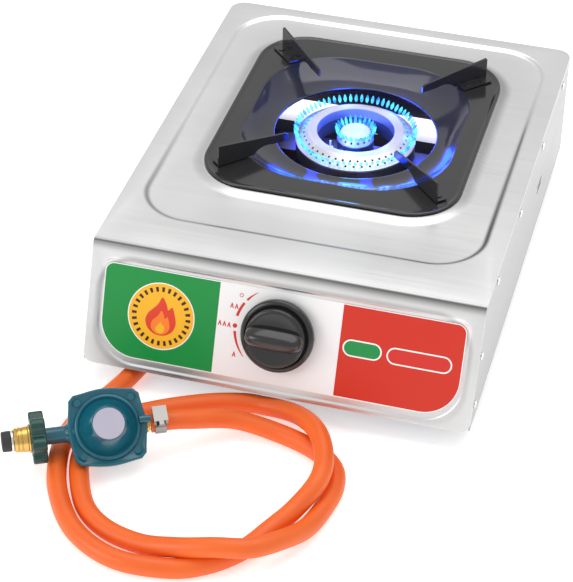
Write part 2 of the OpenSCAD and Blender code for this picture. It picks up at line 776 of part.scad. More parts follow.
module worm_screw() {
    in_r = hose_dia / 2 + clamp_gap;
    translate([clamp_w / 2, 0, in_r + 2.9]) rotate([-90, 0, 0]) {
        translate([0, 0, -6]) cylinder(r = 2, h = 12);
        translate([0, 0, -9.2]) difference() {
            cylinder(r = 3.4, h = 3.2, $fn = 6);
            translate([-4, -0.4, -1]) cube([8, 0.8, 2]);
        }
    }
}

module at_inlet_clamp() { translate([inlet_x, hose_route[0][1] + 4, inlet_z]) rotate([0, 0, 90])
    rotate([-90, 0, 0]) children(); }
module at_outlet_clamp() { on_regulator() translate([barb_end + 2.5, 0, 0]) rotate([-20, 0, 0])
    children(); }
module clamp_inlet() { color("silver") at_inlet_clamp() worm_clamp(); }
module clamp_screw_inlet() { color("silver") at_inlet_clamp() worm_screw(); }
module clamp_outlet() { color("silver") at_outlet_clamp() worm_clamp(); }
module clamp_screw_outlet() { color("silver") at_outlet_clamp() worm_screw(); }

// ---- regulator ----
module lobed_flange(z0, z1) {
    translate([0, 0, z0]) linear_extrude(z1 - z0) {
        circle(reg_dome_r + 1.5);
        for (a = [45:90:315]) rotate(a) translate([lobe_at, 0]) circle(reg_flange_r - lobe_at);
    }
}

module at_reg_screws() { for (a = [45:90:315]) rotate(a) translate([reg_screw_at, 0, 0]) children(); }

module regulator_body() {
    color("teal") on_regulator() difference() {
        union() {
            lobed_flange(flange_z[0], (flange_z[0] + flange_z[1]) / 2);
            rotate_extrude() polygon([[0, -8], [12, -8], [16, -5], [reg_dome_r - 1, flange_z[0] + eps],
                [0, flange_z[0] + eps]]);
            along_x(wheel_at[1] + 0.5, -reg_dome_r + 8, stem_r);
            along_x(nose_at[1] + 3, wheel_at[1] + 1, core_r);
            along_x(10, reg_dome_r + 4, stem_r + 1);
        }
        translate([0, 0, 1.5]) cylinder(r = reg_dome_r - 4, h = far);
        translate([0, 0, (flange_z[0] + flange_z[1]) / 2]) cylinder(r = reg_flange_r, h = far);
        at_reg_screws() cylinder(r = reg_screw_r + run_fit, h = 20);
    }
}

module regulator_cover() {
    mid = (flange_z[0] + flange_z[1]) / 2;
    wall = 2.2;
    foot_r = reg_dome_r;
    top_r = 13;
    color("teal") on_regulator() difference() {
        union() {
            lobed_flange(mid, flange_z[1]);
            rotate_extrude() polygon([[0, mid], [foot_r, mid], [foot_r, flange_z[1] + 3], [foot_r - 3,
                flange_z[1] + 8],
                [top_r, reg_dome_h - 4], [top_r, reg_dome_h - 1.5], [top_r - 1.5, reg_dome_h], [0,
                    reg_dome_h]]);
        }
        rotate_extrude() polygon([[0, mid - 1], [foot_r - 4, mid - 1], [foot_r - 4, flange_z[1] + 5],
            [top_r - 3, reg_dome_h - 5], [0, reg_dome_h - 5]]);
        translate([0, 0, reg_dome_h - 1.2]) cylinder(r = 11, h = 3);
        translate([0, 0, mid - 1]) at_reg_screws() cylinder(r = reg_screw_r + run_fit, h = 20);
    }
}

module regulator_cap() {
    color("thistle") on_regulator() translate([0, 0, reg_dome_h - 1.2]) cylinder(r = 10.9, h = 1.4);
}

module regulator_screws() {
    color("gainsboro") on_regulator() at_reg_screws() {
        translate([0, 0, flange_z[0] - 0.5]) cylinder(r = reg_screw_r, h = flange_z[1] - flange_z[0] + 0.6);
        translate([0, 0, flange_z[1]]) cylinder(r = reg_head_r, h = 1.8);
    }
}

module regulator_diaphragm() {
    mid = (flange_z[0] + flange_z[1]) / 2;
    color("black") on_regulator() translate([0, 0, mid - 1.8]) cylinder(r = reg_dome_r - 4.2, h = 1.6);
}

module regulator_spring() {
    mid = (flange_z[0] + flange_z[1]) / 2;
    color("gray") on_regulator() translate([0, 0, mid - 0.2]) difference() {
        cylinder(r = 7, h = reg_dome_h - 5 - mid);
        translate([0, 0, -1]) cylinder(r = 5.6, h = far);
    }
}

module outlet_barb() {
    color("goldenrod") on_regulator() {
        along_x(reg_dome_r + 4, reg_dome_r + 5.5, stem_r + 0.5);
        along_x(reg_dome_r + 5.5 - eps, barb_end, 5);
    }
}

module handwheel() {
    lobes = 8;
    color("darkgreen") on_regulator() difference() {
        union() {
            along_x(wheel_at[0], wheel_at[1], wheel_r - 2);
            for (i = [0:lobes - 1]) rotate([360 * i / lobes, 0, 0]) translate([0, 0, wheel_r - 4.5])
                along_x(wheel_at[0] + 0.5, wheel_at[1] - 0.5, 4.5);
        }
        along_x(wheel_at[0] - 1, wheel_at[1] + 1, core_r + run_fit);
        translate([wheel_at[1] - 3, 0, 0]) difference() {
            along_x(0, 5, wheel_r - 5);
            along_x(-1, 6, stem_r + 3);
        }
    }
}

module cylinder_nut() {
    bore = core_r + run_fit;
    shoulder = nut_at[1] - nut_at[0];
    end = wheel_at[0] - nut_at[0];
    color("goldenrod") on_regulator() translate([nut_at[0], 0, 0]) rotate([0, 90, 0])
        rotate_extrude() polygon([[bore, 0], [nut_r - 1, 0], [nut_r, 1], [nut_r, shoulder],
            [nut_r - 1.8, shoulder], [nut_r - 1.8, end], [bore, end]]);
}

module nose_seal() {
    color("black") on_regulator() translate([nose_at[0], 0, 0]) rotate([0, 90, 0])
        rotate_extrude() polygon([[0, 0], [3, 0], [5, 1], [7.5, 5], [7.5, 8], [5.5, 8], [5.5, 9.5], [0,
            9.5]]);
}

// ---- drip tray and pan supports ----
module spill_tray() {
    mid_w = bowl_w - 10;
    mid_d = bowl_d - 12;
    mid_r = bowl_r;
    mid_z = tray_top - bowl_depth * 0.45;
    hole = 2 * tray_hole_r;
    color("dimgray") translate([0, burner_y, 0]) {
        difference() {
            union() {
                difference() {
                    plate(tray_w, tray_d, tray_r, tray_foot, tray_top);
                    plate(tray_w - 2 * bead_w, tray_d - 2 * bead_w, tray_r - bead_w, 0, tray_top - tray_t);
                    plate(bowl_w, bowl_d, bowl_r, 0, far);
                }
                sheet_slope([bowl_w, bowl_d, bowl_r, tray_top], [mid_w, mid_d, mid_r, mid_z], tray_t);
                sheet_slope([mid_w, mid_d, mid_r, mid_z], [hole, hole, hole / 2 - eps, bowl_z], tray_t);
            }
            for (m = [[0, 0], [1, 0], [0, 1], [1, 1]]) mirror([m[0], 0, 0]) mirror([0, m[1], 0]) at_rivets()
                cylinder(r = rivet_r + 0.05, h = far, center = true);
        }
        difference() {
            plate(hole + 2 * tray_t, hole + 2 * tray_t, tray_hole_r + tray_t - eps, bowl_z - 2.2, bowl_z);
            plate(hole, hole, tray_hole_r - eps, 0, far);
        }
    }
}

// Places of the rivets of the support in the +X +Y corner
support_dir = unit(support_out - support_in);
support_ang = atan2(support_dir[1], support_dir[0]);
module on_support() { translate([support_out[0], support_out[1], 0]) rotate(support_ang + 180) children(); }
module at_rivets() { on_support() for (x = rivet_at) translate([x, foot_w / 2 + 0.6, 0]) children(); }

// Blade in the +X +Y corner: X runs inwards, its folded foot lies towards +Y of that frame
module support_blade() {
    len = norm(support_out - support_in);
    drop = 6.9;
    translate([0, burner_y, 0]) on_support() {
        translate([0, support_t / 2, tray_top]) rotate([90, 0, 0]) linear_extrude(support_t) polygon(concat(
            [[0, 0], [0, support_h - 1], [1, support_h], [len - 2, support_h - drop], [len,
                support_h - drop - 2],
                [len, support_h - drop - 6.5]],
            arc([foot_len + 15, -9.5], 15, 70, 140, 8), [[foot_len, 0]]));
        difference() {
            translate([0, 0, tray_top]) cube([foot_len, foot_w, foot_t]);
            for (x = rivet_at) translate([x, foot_w / 2 + 0.6, tray_top - 1])
                cylinder(r = rivet_r + 0.05, h = 3);
        }
    }
}

module pan_support_br() { color("dimgray") support_blade(); }
module pan_support_bl() { color("dimgray") mirror([1, 0, 0]) support_blade(); }
module pan_support_fr() { color("dimgray") support_front() mirror([0, 1, 0]) support_blade(); }
module pan_support_fl() { color("dimgray") support_front() mirror([1, 0, 0]) mirror([0, 1, 0])
    support_blade(); }
module support_front() { translate([0, 2 * burner_y, 0]) children(); }

module support_rivets() {
    color("dimgray") translate([0, burner_y, 0])
        for (m = [[0, 0], [1, 0], [0, 1], [1, 1]]) mirror([m[0], 0, 0]) mirror([0, m[1], 0]) at_rivets() {
            translate([0, 0, tray_top - tray_t - 0.8]) cylinder(r = rivet_r, h = tray_t + foot_t + 1);
            translate([0, 0, tray_top + foot_t]) cylinder(r = rivet_r + 1, h = 0.8);
            translate([0, 0, tray_top - tray_t - 0.8]) cylinder(r = rivet_r + 0.8, h = 0.8);
        }
}

top_shell();
side_panel(-1);  // side_panel_left
side_panel(1);  // side_panel_right
back_panel();
side_screws(-1);  // side_screws_left
side_screws(1);  // side_screws_right
back_screws();
label_plate();
rubber_foot(-1, front_foot_y);  // foot_front_left
rubber_foot(1, front_foot_y);  // foot_front_right
rubber_foot(-1, rear_foot_y);  // foot_rear_left
rubber_foot(1, rear_foot_y);  // foot_rear_right
foot_screws();
burner_rail();
rail_screws();
spill_tray();
pan_support_fl();
pan_support_fr();
pan_support_bl();
pan_support_br();
support_rivets();
outer_ring_cap();
inner_cap();
burner_base();
burner_screws();
air_shutter(-1);  // air_shutter_left
air_shutter(1);  // air_shutter_right
jet(-1);  // jet_left
jet(1);  // jet_right
valve_body();
valve_plug();
valve_spindle();
spindle_spring();
valve_screws();
knob();
piezo_igniter();
ignition_wire();
electrode();
electrode_bracket();
inlet_elbow();
hose();
clamp_inlet();
clamp_screw_inlet();
clamp_outlet();
clamp_screw_outlet();
regulator_body();
regulator_cover();
regulator_cap();
regulator_screws();
regulator_diaphragm();
regulator_spring();
outlet_barb();
handwheel();
cylinder_nut();
nose_seal();
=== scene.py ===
# %% [markdown]
# # A camping stove in cells
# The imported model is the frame: every piece below takes its place from it. Most pieces of a stove are
# pressed sheet, turned metal or moulded plastic, so the lesson goes through those three ways of making.

# %% Load the frame
import json
import math
import bmesh
import bpy
from mathutils import Matrix, Vector


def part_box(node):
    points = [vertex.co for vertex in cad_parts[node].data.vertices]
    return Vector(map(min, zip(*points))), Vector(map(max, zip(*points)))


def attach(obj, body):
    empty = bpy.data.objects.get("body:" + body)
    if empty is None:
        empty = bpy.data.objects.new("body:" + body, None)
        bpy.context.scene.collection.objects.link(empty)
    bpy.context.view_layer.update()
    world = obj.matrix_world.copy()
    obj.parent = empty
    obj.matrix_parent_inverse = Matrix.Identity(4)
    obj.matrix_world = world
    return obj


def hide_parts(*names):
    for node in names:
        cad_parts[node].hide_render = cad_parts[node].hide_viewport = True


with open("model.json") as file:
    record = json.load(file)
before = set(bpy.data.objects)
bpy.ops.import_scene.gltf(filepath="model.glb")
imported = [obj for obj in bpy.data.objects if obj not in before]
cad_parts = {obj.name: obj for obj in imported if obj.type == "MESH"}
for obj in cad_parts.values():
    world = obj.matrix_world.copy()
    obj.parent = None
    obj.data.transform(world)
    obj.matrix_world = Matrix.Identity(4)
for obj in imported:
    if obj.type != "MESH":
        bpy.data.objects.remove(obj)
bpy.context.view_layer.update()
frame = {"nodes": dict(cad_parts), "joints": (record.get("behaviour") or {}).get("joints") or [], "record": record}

MM = 0.001
nodes = frame["nodes"]
node_body = {n: b for b, names in frame["record"]["behaviour"]["bodies"].items() for n in names}
slot_of = {s["node"]: s["material_slot"] for s in frame["record"]["subparts"]}

# %% [markdown]
# The frame gives the places that the pieces share: the box of the top sheet, the burner's centre and the
# slant of the front apron. They are read once here, so that a change of size in the model moves the pieces.

# %% Places read from the frame
top_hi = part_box("top_shell")[1]
tray_lo, tray_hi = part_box("spill_tray")
knob_joint = next(j for j in frame["joints"] if j["name"] == "knob_turn")
HALF_W = top_hi[0]
TOP_Z = top_hi[2]
BACK_Y = top_hi[1]
BURNER = Vector(((tray_lo[0] + tray_hi[0]) / 2, (tray_lo[1] + tray_hi[1]) / 2, 0))
TRAY_TOP = tray_hi[2]
OUT = Vector(knob_joint["axis"]).normalized()
DOWN = Vector((0, -OUT[2], OUT[1]))
KNOB_AT = Vector(knob_joint["pos_m"])
KNOB_DOWN = (TOP_Z - KNOB_AT[2]) / -DOWN[2]
BEND = Vector((0, KNOB_AT[1] - DOWN[1] * KNOB_DOWN, TOP_Z))
APRON_LEN = (TOP_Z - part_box("side_panel_left")[0][2]) / -DOWN[2]
print("burner", BURNER, "bend", BEND, "apron length", round(APRON_LEN, 4))

# %% [markdown]
# The camera stands in front and to the right, a good way off, so the lines of the body stay nearly parallel.
# Its turn, height and small roll set the rotation, and a long lens gives the flat perspective.

# %% Camera
TURN, RISE, ROLL = math.radians(15.193), math.radians(37.858), math.radians(0.729)
LENS_MM, SENSOR_MM = 131.37, 36
CAMERA_AT = (0.3144, -1.3142, 1.0191)
back_dir = Vector((math.sin(TURN) * math.cos(RISE), -math.cos(TURN) * math.cos(RISE), math.sin(RISE)))
right_0 = Vector((math.cos(TURN), math.sin(TURN), 0))
up_0 = back_dir.cross(right_0)
right_dir = right_0 * math.cos(ROLL) + up_0 * math.sin(ROLL)
up_dir = up_0 * math.cos(ROLL) - right_0 * math.sin(ROLL)
cam_data = bpy.data.cameras.new("camera")
cam_data.lens = LENS_MM
cam_data.sensor_width = SENSOR_MM
camera = bpy.data.objects.new("camera", cam_data)
bpy.context.scene.collection.objects.link(camera)
camera.matrix_world = Matrix(
    [(right_dir[i], up_dir[i], back_dir[i], CAMERA_AT[i]) for i in range(3)] + [(0, 0, 0, 1)])
bpy.context.scene.camera = camera
print("lens", cam_data.lens)

# %% [markdown]
# A few small helpers do the work that every hand-built piece needs: make an object from points and faces,
# merge its doubles, shade it smooth up to an angle, round its edges, put it under the empty of the body it
# rides on and hide the frame's node that it stands for.

# %% Helpers for pieces
def linked(obj):
    bpy.context.scene.collection.objects.link(obj)
    return obj


def new_object(name, verts, faces, material=None):
    mesh = bpy.data.meshes.new(name)
    mesh.from_pydata([tuple(v) for v in verts], [], faces)
    if material:
        mesh.materials.append(material)
    return linked(bpy.data.objects.new(name, mesh))


def tidy_mesh(obj, merge=1e-6, recalc=True):
    bm = bmesh.new()
    bm.from_mesh(obj.data)
    bmesh.ops.remove_doubles(bm, verts=bm.verts, dist=merge)
    bmesh.ops.dissolve_degenerate(bm, edges=bm.edges, dist=1e-7)
    if recalc:
        bmesh.ops.recalc_face_normals(bm, faces=bm.faces)
    bm.to_mesh(obj.data)
    bm.free()


def shade(obj, angle=35):
    for poly in obj.data.polygons:
        poly.use_smooth = True
    obj.data.set_sharp_from_angle(angle=math.radians(angle))


def bevel(obj, width_mm, segments=2, angle=35):
    mod = obj.modifiers.new("edge_round", "BEVEL")
    mod.width = width_mm * MM
    mod.segments = segments
    mod.limit_method = "ANGLE"
    mod.angle_limit = math.radians(angle)
    mod.harden_normals = True


def stands_for(obj, name):
    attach(obj, node_body[name])
    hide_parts(name)
    return obj


def circle(r, steps):
    return [(r * math.cos(2 * math.pi * k / steps), r * math.sin(2 * math.pi * k / steps))
            for k in range(steps)]


print("helpers ready")

# %% [markdown]
# A hose is an extruded tube, so its section is constant and only its centreline bends. The line runs
# through a few listed points and is smoothed between them with a Catmull-Rom curve. The section
# has fine ribs along its length, as reinforced gas hose has, which a swept ring of points carries along.

# %% Hose centreline
HOSE_R = 7.0
HOSE_ROUTE = [
    (38, -117, 47), (38, -98, 47), (37, -76, 44), (29, -52, 37), (11, -30, 27), (-14, -18, 17),
    (-42, -18, 10), (-68, -30, 7), (-88, -52, 7), (-97, -83, 7), (-98, -116, 7), (-101, -148, 7),
    (-108, -181, 7), (-116, -208, 7), (-127, -234, 7), (-132, -259, 7), (-130, -285, 7),
    (-118, -319, 7), (-94, -352, 7), (-60, -370, 7), (-22, -369, 7), (2, -358, 7), (21, -339, 7),
    (34, -315, 8), (46, -296, 13), (56, -274, 21), (54, -250, 22), (42, -225, 22), (21, -203, 14),
    (-8, -193, 7), (-34, -197, 7), (-60, -208, 7), (-84, -222, 7), (-103, -237, 7), (-114, -257, 7),
    (-115, -280, 7), (-108, -303, 7), (-94, -329, 7), (-74, -345, 7), (-46, -354, 9), (-18, -357, 16),
    (7, -356, 22), (30, -350, 22), (46, -332, 17), (57, -309, 9), (63, -284, 7), (65, -262, 7),
    (59, -243, 7), (40, -228, 7), (10, -219, 8), (-20, -221, 14), (-46, -239, 23), (-58, -247.5, 26.5),
    (-71.5, -254.7, 26.5)]


def catmull(points, steps, lowest):
    """A smooth line through the points, kept at or above the lowest height."""
    pts = [Vector(p) for p in points]
    out = []
    for i in range(len(pts) - 1):
        a, b, c, d = pts[max(i - 1, 0)], pts[i], pts[i + 1], pts[min(i + 2, len(pts) - 1)]
        for k in range(steps):
            t = k / steps
            out.append(0.5 * (2 * b + (c - a) * t + (2 * a - 5 * b + 4 * c - d) * t ** 2
                              + (3 * b - a - 3 * c + d) * t ** 3))
    out.append(pts[-1])
    return [Vector((p[0], p[1], max(p[2], lowest))) for p in out]


hose_line = catmull(HOSE_ROUTE, 8, HOSE_R)
hose_len = sum((b - a).length for a, b in zip(hose_line, hose_line[1:])) * MM
print("hose points", len(hose_line), "length", round(hose_len, 4))

# %% Sweep a section along a line
def sweep(line, section):
    """section holds (side, up) in mm for each point of the ring; returns points and faces in metres."""
    n = len(section)
    verts, faces = [], []
    for i, p in enumerate(line):
        t = (line[min(i + 1, len(line) - 1)] - line[max(i - 1, 0)]).normalized()
        side = t.cross(Vector((0, 0, 1))).normalized()
        up = side.cross(t)
        verts += [(p + side * s + up * u) * MM for s, u in section]
    for i in range(len(line) - 1):
        for k in range(n):
            a, b = i * n + k, i * n + (k + 1) % n
            faces.append((a, b, b + n, a + n))
    return verts, faces + [tuple(reversed(range(n))), tuple(range(len(verts) - n, len(verts)))]


RIBS, RIB_DEPTH = 28, 0.22
rib_section = []
for k in range(2 * RIBS):
    r = HOSE_R - (RIB_DEPTH if k % 2 else 0)
    rib_section.append((r * math.cos(math.pi * k / RIBS), r * math.sin(math.pi * k / RIBS)))
hose = new_object("gas_hose", *sweep(hose_line, rib_section))
tidy_mesh(hose)
shade(hose, 60)
print("hose faces", len(hose.data.polygons))

# %% [markdown]
# Shader groups hold the effects that several finishes share: fine grain pulled out along one axis for
# brushed sheet, and a soft mottle for moulded, cast and painted pieces. Both give a height for the bump, a
# roughness and a slow cloud that mixes two tones. Small helpers add the nodes that keep coming back.

# %% Node helpers
def node_group(name, inputs, outputs):
    group = bpy.data.node_groups.new(name, "ShaderNodeTree")
    for label, kind, value in inputs:
        sock = group.interface.new_socket(label, in_out="INPUT", socket_type=kind)
        sock.default_value = value
    for label, kind in outputs:
        group.interface.new_socket(label, in_out="OUTPUT", socket_type=kind)
    return group, group.nodes.new("NodeGroupInput"), group.nodes.new("NodeGroupOutput")


def feed(tree, socket, value):
    """Links a socket to another one, or sets it to a plain value."""
    if isinstance(value, bpy.types.NodeSocket):
        tree.links.new(value, socket)
    else:
        socket.default_value = value


def feed_named(tree, sockets, values):
    for label, value in values.items():
        feed(tree, sockets[label], value)


def math_node(tree, op, *values, clamp=False):
    n = tree.nodes.new("ShaderNodeMath")
    n.operation = op
    n.use_clamp = clamp
    for socket, value in zip(n.inputs, values):
        feed(tree, socket, value)
    return n.outputs[0]


def vector_node(tree, op, *values):
    n = tree.nodes.new("ShaderNodeVectorMath")
    n.operation = op
    for socket, value in zip(n.inputs, values):
        feed(tree, socket, value)
    return n


def object_point(tree):
    return tree.nodes.new("ShaderNodeTexCoord").outputs["Object"]


def noise(tree, at, scale, detail=2):
    n = tree.nodes.new("ShaderNodeTexNoise")
    feed_named(tree, n.inputs, {"Vector": at, "Scale": scale, "Detail": detail})
    return n.outputs[0]


def ranged(tree, value, old, new, smooth=False):
    """Maps the old pair of limits to the new pair, straight or along a soft S."""
    n = tree.nodes.new("ShaderNodeMapRange")
    n.interpolation_type = "SMOOTHSTEP" if smooth else "LINEAR"
    feed_named(tree, n.inputs, {"Value": value, "From Min": old[0], "From Max": old[1],
                                "To Min": new[0], "To Max": new[1]})
    return n.outputs[0]


def mixed_color(tree, factor, color_a, color_b):
    n = tree.nodes.new("ShaderNodeMix")
    n.data_type = "RGBA"
    for i, value in ((0, factor), (6, color_a), (7, color_b)):
        feed(tree, n.inputs[i], value)
    return n.outputs[2]


print("node helpers ready")

# %% Shader groups
ROUGH_INPUTS = [("Rough low", "NodeSocketFloat", 0.3), ("Rough high", "NodeSocketFloat", 0.4)]
SURFACE_OUTPUTS = [(label, "NodeSocketFloat") for label in ("Height", "Roughness", "Cloud")]


def close_group(g, gin, gout, fine, cloud, spread, limits):
    rough = ranged(g, spread, limits, (gin.outputs["Rough low"], gin.outputs["Rough high"]))
    feed_named(g, gout.inputs, {"Height": fine, "Roughness": rough, "Cloud": cloud})
    return g


def brushed_group():
    stretch = ("Stretch", "NodeSocketVector", (8, 900, 900))
    g, gin, gout = node_group("brushed_grain", [stretch] + ROUGH_INPUTS, SURFACE_OUTPUTS)
    at = object_point(g)
    grain = noise(g, vector_node(g, "MULTIPLY", at, gin.outputs["Stretch"]).outputs[0], 1, 4)
    cloud = noise(g, at, 14, 3)
    both = math_node(g, "ADD", math_node(g, "MULTIPLY", grain, 0.6), math_node(g, "MULTIPLY", cloud, 0.4))
    return close_group(g, gin, gout, grain, cloud, both, (0.3, 0.7))


def mottle_group():
    scale = ("Scale", "NodeSocketFloat", 400)
    g, gin, gout = node_group("soft_mottle", [scale] + ROUGH_INPUTS, SURFACE_OUTPUTS)
    at = object_point(g)
    cloud = noise(g, at, 30, 4)
    return close_group(g, gin, gout, noise(g, at, gin.outputs["Scale"], 5), cloud, cloud, (0.35, 0.65))


BRUSHED = brushed_group()
MOTTLE = mottle_group()
print("shader groups", BRUSHED.name, MOTTLE.name)

# %% [markdown]
# A finish is one Principled shader with a group in front of it. The two base colours are close, so that
# the cloud only breaks up the flatness, and the bump is a few hundredths of a millimetre.

# %% Finishes
def material(name, values):
    mat = bpy.data.materials.new(name)
    mat.use_nodes = True
    feed_named(mat.node_tree, mat.node_tree.nodes["Principled BSDF"].inputs, values)
    return mat


def finish(name, color_a, color_b, group, rough, metallic=0.0, bump=0.05, bump_mm=0.05, stretch=None,
           scale=None, coat=0.0, coat_rough=0.1):
    mat = material(name, {"Metallic": metallic, "Coat Weight": coat, "Coat Roughness": coat_rough})
    tree = mat.node_tree
    fx = tree.nodes.new("ShaderNodeGroup")
    fx.node_tree = group
    values = {"Rough low": rough[0], "Rough high": rough[1], "Stretch": stretch, "Scale": scale}
    feed_named(tree, fx.inputs, {label: value for label, value in values.items() if value})
    bump_node = tree.nodes.new("ShaderNodeBump")
    feed_named(tree, bump_node.inputs, {
        "Strength": bump, "Distance": bump_mm * MM, "Height": fx.outputs["Height"]})
    feed_named(tree, tree.nodes["Principled BSDF"].inputs, {
        "Base Color": mixed_color(tree, fx.outputs["Cloud"], (*color_a, 1), (*color_b, 1)),
        "Roughness": fx.outputs["Roughness"], "Normal": bump_node.outputs[0]})
    return mat


ALONG_X, ALONG_Y = (6, 700, 700), (700, 6, 700)
STEEL = finish("brushed_stainless", (0.80, 0.80, 0.80), (0.86, 0.86, 0.855), BRUSHED, (0.30, 0.42), 1.0,
               0.25, 0.02, stretch=ALONG_X)
# The panels are the same brushed steel made darker: painted shade on the upright sides.
SHADED_PANEL_STEEL = finish("brushed_stainless_panel_painted_shade", (0.40, 0.40, 0.40), (0.47, 0.47, 0.47), BRUSHED, (0.30, 0.42), 1.0,
               0.25, 0.02, stretch=ALONG_Y)
# The burner rail is brushed sheet made almost black: painted shade.
SHADED_RAIL = finish("rail_sheet_painted_shade", (0.10, 0.10, 0.11), (0.17, 0.17, 0.18), BRUSHED, (0.32, 0.45), 1.0,
              0.25, 0.02, stretch=ALONG_X)
BRIGHT = finish("bright_plating", (0.72, 0.72, 0.71), (0.82, 0.82, 0.81), MOTTLE, (0.15, 0.28), 1.0,
                0.1, scale=600)
ZINC = finish("zinc_plating", (0.60, 0.61, 0.62), (0.74, 0.75, 0.76), MOTTLE, (0.28, 0.45), 1.0,
              0.2, scale=500)
ENAMEL = finish("black_enamel", (0.018, 0.018, 0.019), (0.026, 0.026, 0.027), MOTTLE, (0.12, 0.20), 0.0,
                0.3, 0.03, scale=260, coat=0.35, coat_rough=0.06)
CAP_METAL = finish("machined_burner_metal", (0.70, 0.70, 0.70), (0.82, 0.82, 0.82), MOTTLE, (0.3, 0.45), 0.9,
                   0.2, scale=500)
CASTING = finish("rough_casting", (0.12, 0.12, 0.13), (0.20, 0.20, 0.21), MOTTLE, (0.45, 0.65), 0.8,
                 0.6, 0.2, scale=350)
BRASS = finish("turned_brass", (0.62, 0.40, 0.10), (0.75, 0.52, 0.17), MOTTLE, (0.18, 0.32), 1.0,
               0.15, scale=500)
# The hose clamps are plated metal made darker: painted shade against the bright surround.
SHADED_CLAMP = finish("clamp_band_painted_shade", (0.20, 0.19, 0.18), (0.40, 0.38, 0.36), MOTTLE, (0.22, 0.40), 1.0,
               0.3, 0.05, scale=300)
RUBBER = finish("black_rubber", (0.018, 0.018, 0.018), (0.035, 0.035, 0.035), MOTTLE, (0.5, 0.7), 0.0,
                0.3, scale=900)
KNOB_BLACK = finish("glossy_knob_plastic", (0.012, 0.012, 0.013), (0.020, 0.020, 0.021), MOTTLE, (0.16, 0.26),
                    0.0, 0.08, scale=300, coat=0.2)
BLACK_PLASTIC = finish("moulded_black_plastic", (0.03, 0.03, 0.03), (0.05, 0.05, 0.05), MOTTLE, (0.4, 0.55),
                       0.0, 0.2, scale=700)
WIRE = finish("silicone_sleeve", (0.62, 0.60, 0.55), (0.75, 0.74, 0.70), MOTTLE, (0.5, 0.6), 0.0,
              0.1, scale=500)
CERAMIC = finish("glazed_ceramic", (0.80, 0.78, 0.72), (0.90, 0.88, 0.83), MOTTLE, (0.12, 0.2), 0.0,
                 0.05, scale=300)
HOSE_ORANGE = finish("orange_hose_rubber", (0.78, 0.105, 0.008), (0.92, 0.160, 0.014), MOTTLE, (0.38, 0.5),
                     0.0, 0.15, 0.04, scale=700)
TEAL = finish("teal_paint", (0.002, 0.090, 0.135), (0.004, 0.125, 0.180), MOTTLE, (0.16, 0.26), 0.0,
              0.25, 0.05, scale=220, coat=0.3, coat_rough=0.15)
LILAC = finish("pale_cap_plastic", (0.42, 0.40, 0.50), (0.50, 0.48, 0.58), MOTTLE, (0.4, 0.5), 0.0,
               0.2, scale=500)
GREEN = finish("dark_green_plastic", (0.002, 0.040, 0.034), (0.006, 0.062, 0.052), MOTTLE, (0.18, 0.30), 0.0,
               0.2, 0.05, scale=300)
SLOT_FINISH = {
    "steel": STEEL, "fastener": BRIGHT, "label": None, "rubber": RUBBER, "zinc": ZINC, "enamel": ENAMEL,
    "burner_metal": CAP_METAL, "casting": CASTING, "brass": BRASS, "knob_plastic": KNOB_BLACK,
    "black_plastic": BLACK_PLASTIC, "wire_cover": WIRE, "ceramic": CERAMIC, "hose_rubber": HOSE_ORANGE,
    "teal_paint": TEAL, "cap_plastic": LILAC, "green_plastic": GREEN}
print("finishes", len(bpy.data.materials))

# %% [markdown]
# The printed label is one sheet in three fields. A field's edge is a straight line across the apron, so
# two comparisons of the X coordinate choose the colour, which keeps the edges sharp at any size.

# %% Printed label finish
GREEN_FIELD, WHITE_FIELD, RED_FIELD = (0.0, 0.27, 0.045), (0.90, 0.90, 0.90), (0.62, 0.022, 0.004)
WHITE_FROM, RED_FROM = -0.047, 0.0443


def printed_label():
    mat = finish("printed_label", GREEN_FIELD, GREEN_FIELD, MOTTLE, (0.3, 0.4), 0.0, 0.05, scale=500)
    tree = mat.node_tree
    split = tree.nodes.new("ShaderNodeSeparateXYZ")
    feed(tree, split.inputs[0], object_point(tree))
    color = (*GREEN_FIELD, 1)
    for limit, field in ((WHITE_FROM, WHITE_FIELD), (RED_FROM, RED_FIELD)):
        step = math_node(tree, "GREATER_THAN", split.outputs["X"], limit)
        color = mixed_color(tree, step, color, (*field, 1))
    feed(tree, tree.nodes["Principled BSDF"].inputs["Base Color"], color)
    return mat


SLOT_FINISH["label"] = printed_label()
hose.data.materials.append(HOSE_ORANGE)
print("label fields meet at", WHITE_FROM, RED_FROM)

# %% [markdown]
# The top is one sheet: a flat border, a pressed step down, a flat field, a raised rim and the bend into
# the slanted apron. Pressed sheet has no sharp inner edges, so each step is a short row of rounded
# outlines with an S-shaped profile. All outlines have the same number of points, so they bridge simply.

# %% Outlines of rounded rectangles
CORNER, SIDE = 14, 16


def outline(cx, cy, w, d, radii):
    """Points of a rounded rectangle, anticlockwise from the right; radii go +x+y, -x+y, -x-y, +x-y."""
    pts = []
    corners = ((1, 1, 0), (-1, 1, 90), (-1, -1, 180), (1, -1, 270))
    for (sx, sy, start), r in zip(corners, radii):
        ox, oy = cx + sx * (w / 2 - r), cy + sy * (d / 2 - r)
        arc = [(ox + r * math.cos(math.radians(start + 90 * k / CORNER)),
                oy + r * math.sin(math.radians(start + 90 * k / CORNER))) for k in range(CORNER + 1)]
        pts.append(arc)
    ring = []
    for i in range(4):
        ring += pts[i]
        a, b = pts[i][-1], pts[(i + 1) % 4][0]
        ring += [(a[0] + (b[0] - a[0]) * k / SIDE, a[1] + (b[1] - a[1]) * k / SIDE)
                 for k in range(1, SIDE)]
    return ring


def bridge(rings, verts, faces, place):
    """Adds rings of (u, v, height) through place() and quads between each neighbouring pair."""
    n = len(rings[0][0])
    start = len(verts)
    for ring, height in rings:
        verts += [place(u, v, height) for u, v in ring]
    for i in range(len(rings) - 1):
        for k in range(n):
            a, b = start + i * n + k, start + i * n + (k + 1) % n
            faces.append((a, b, b + n, a + n))
    return start + (len(rings) - 1) * n, n


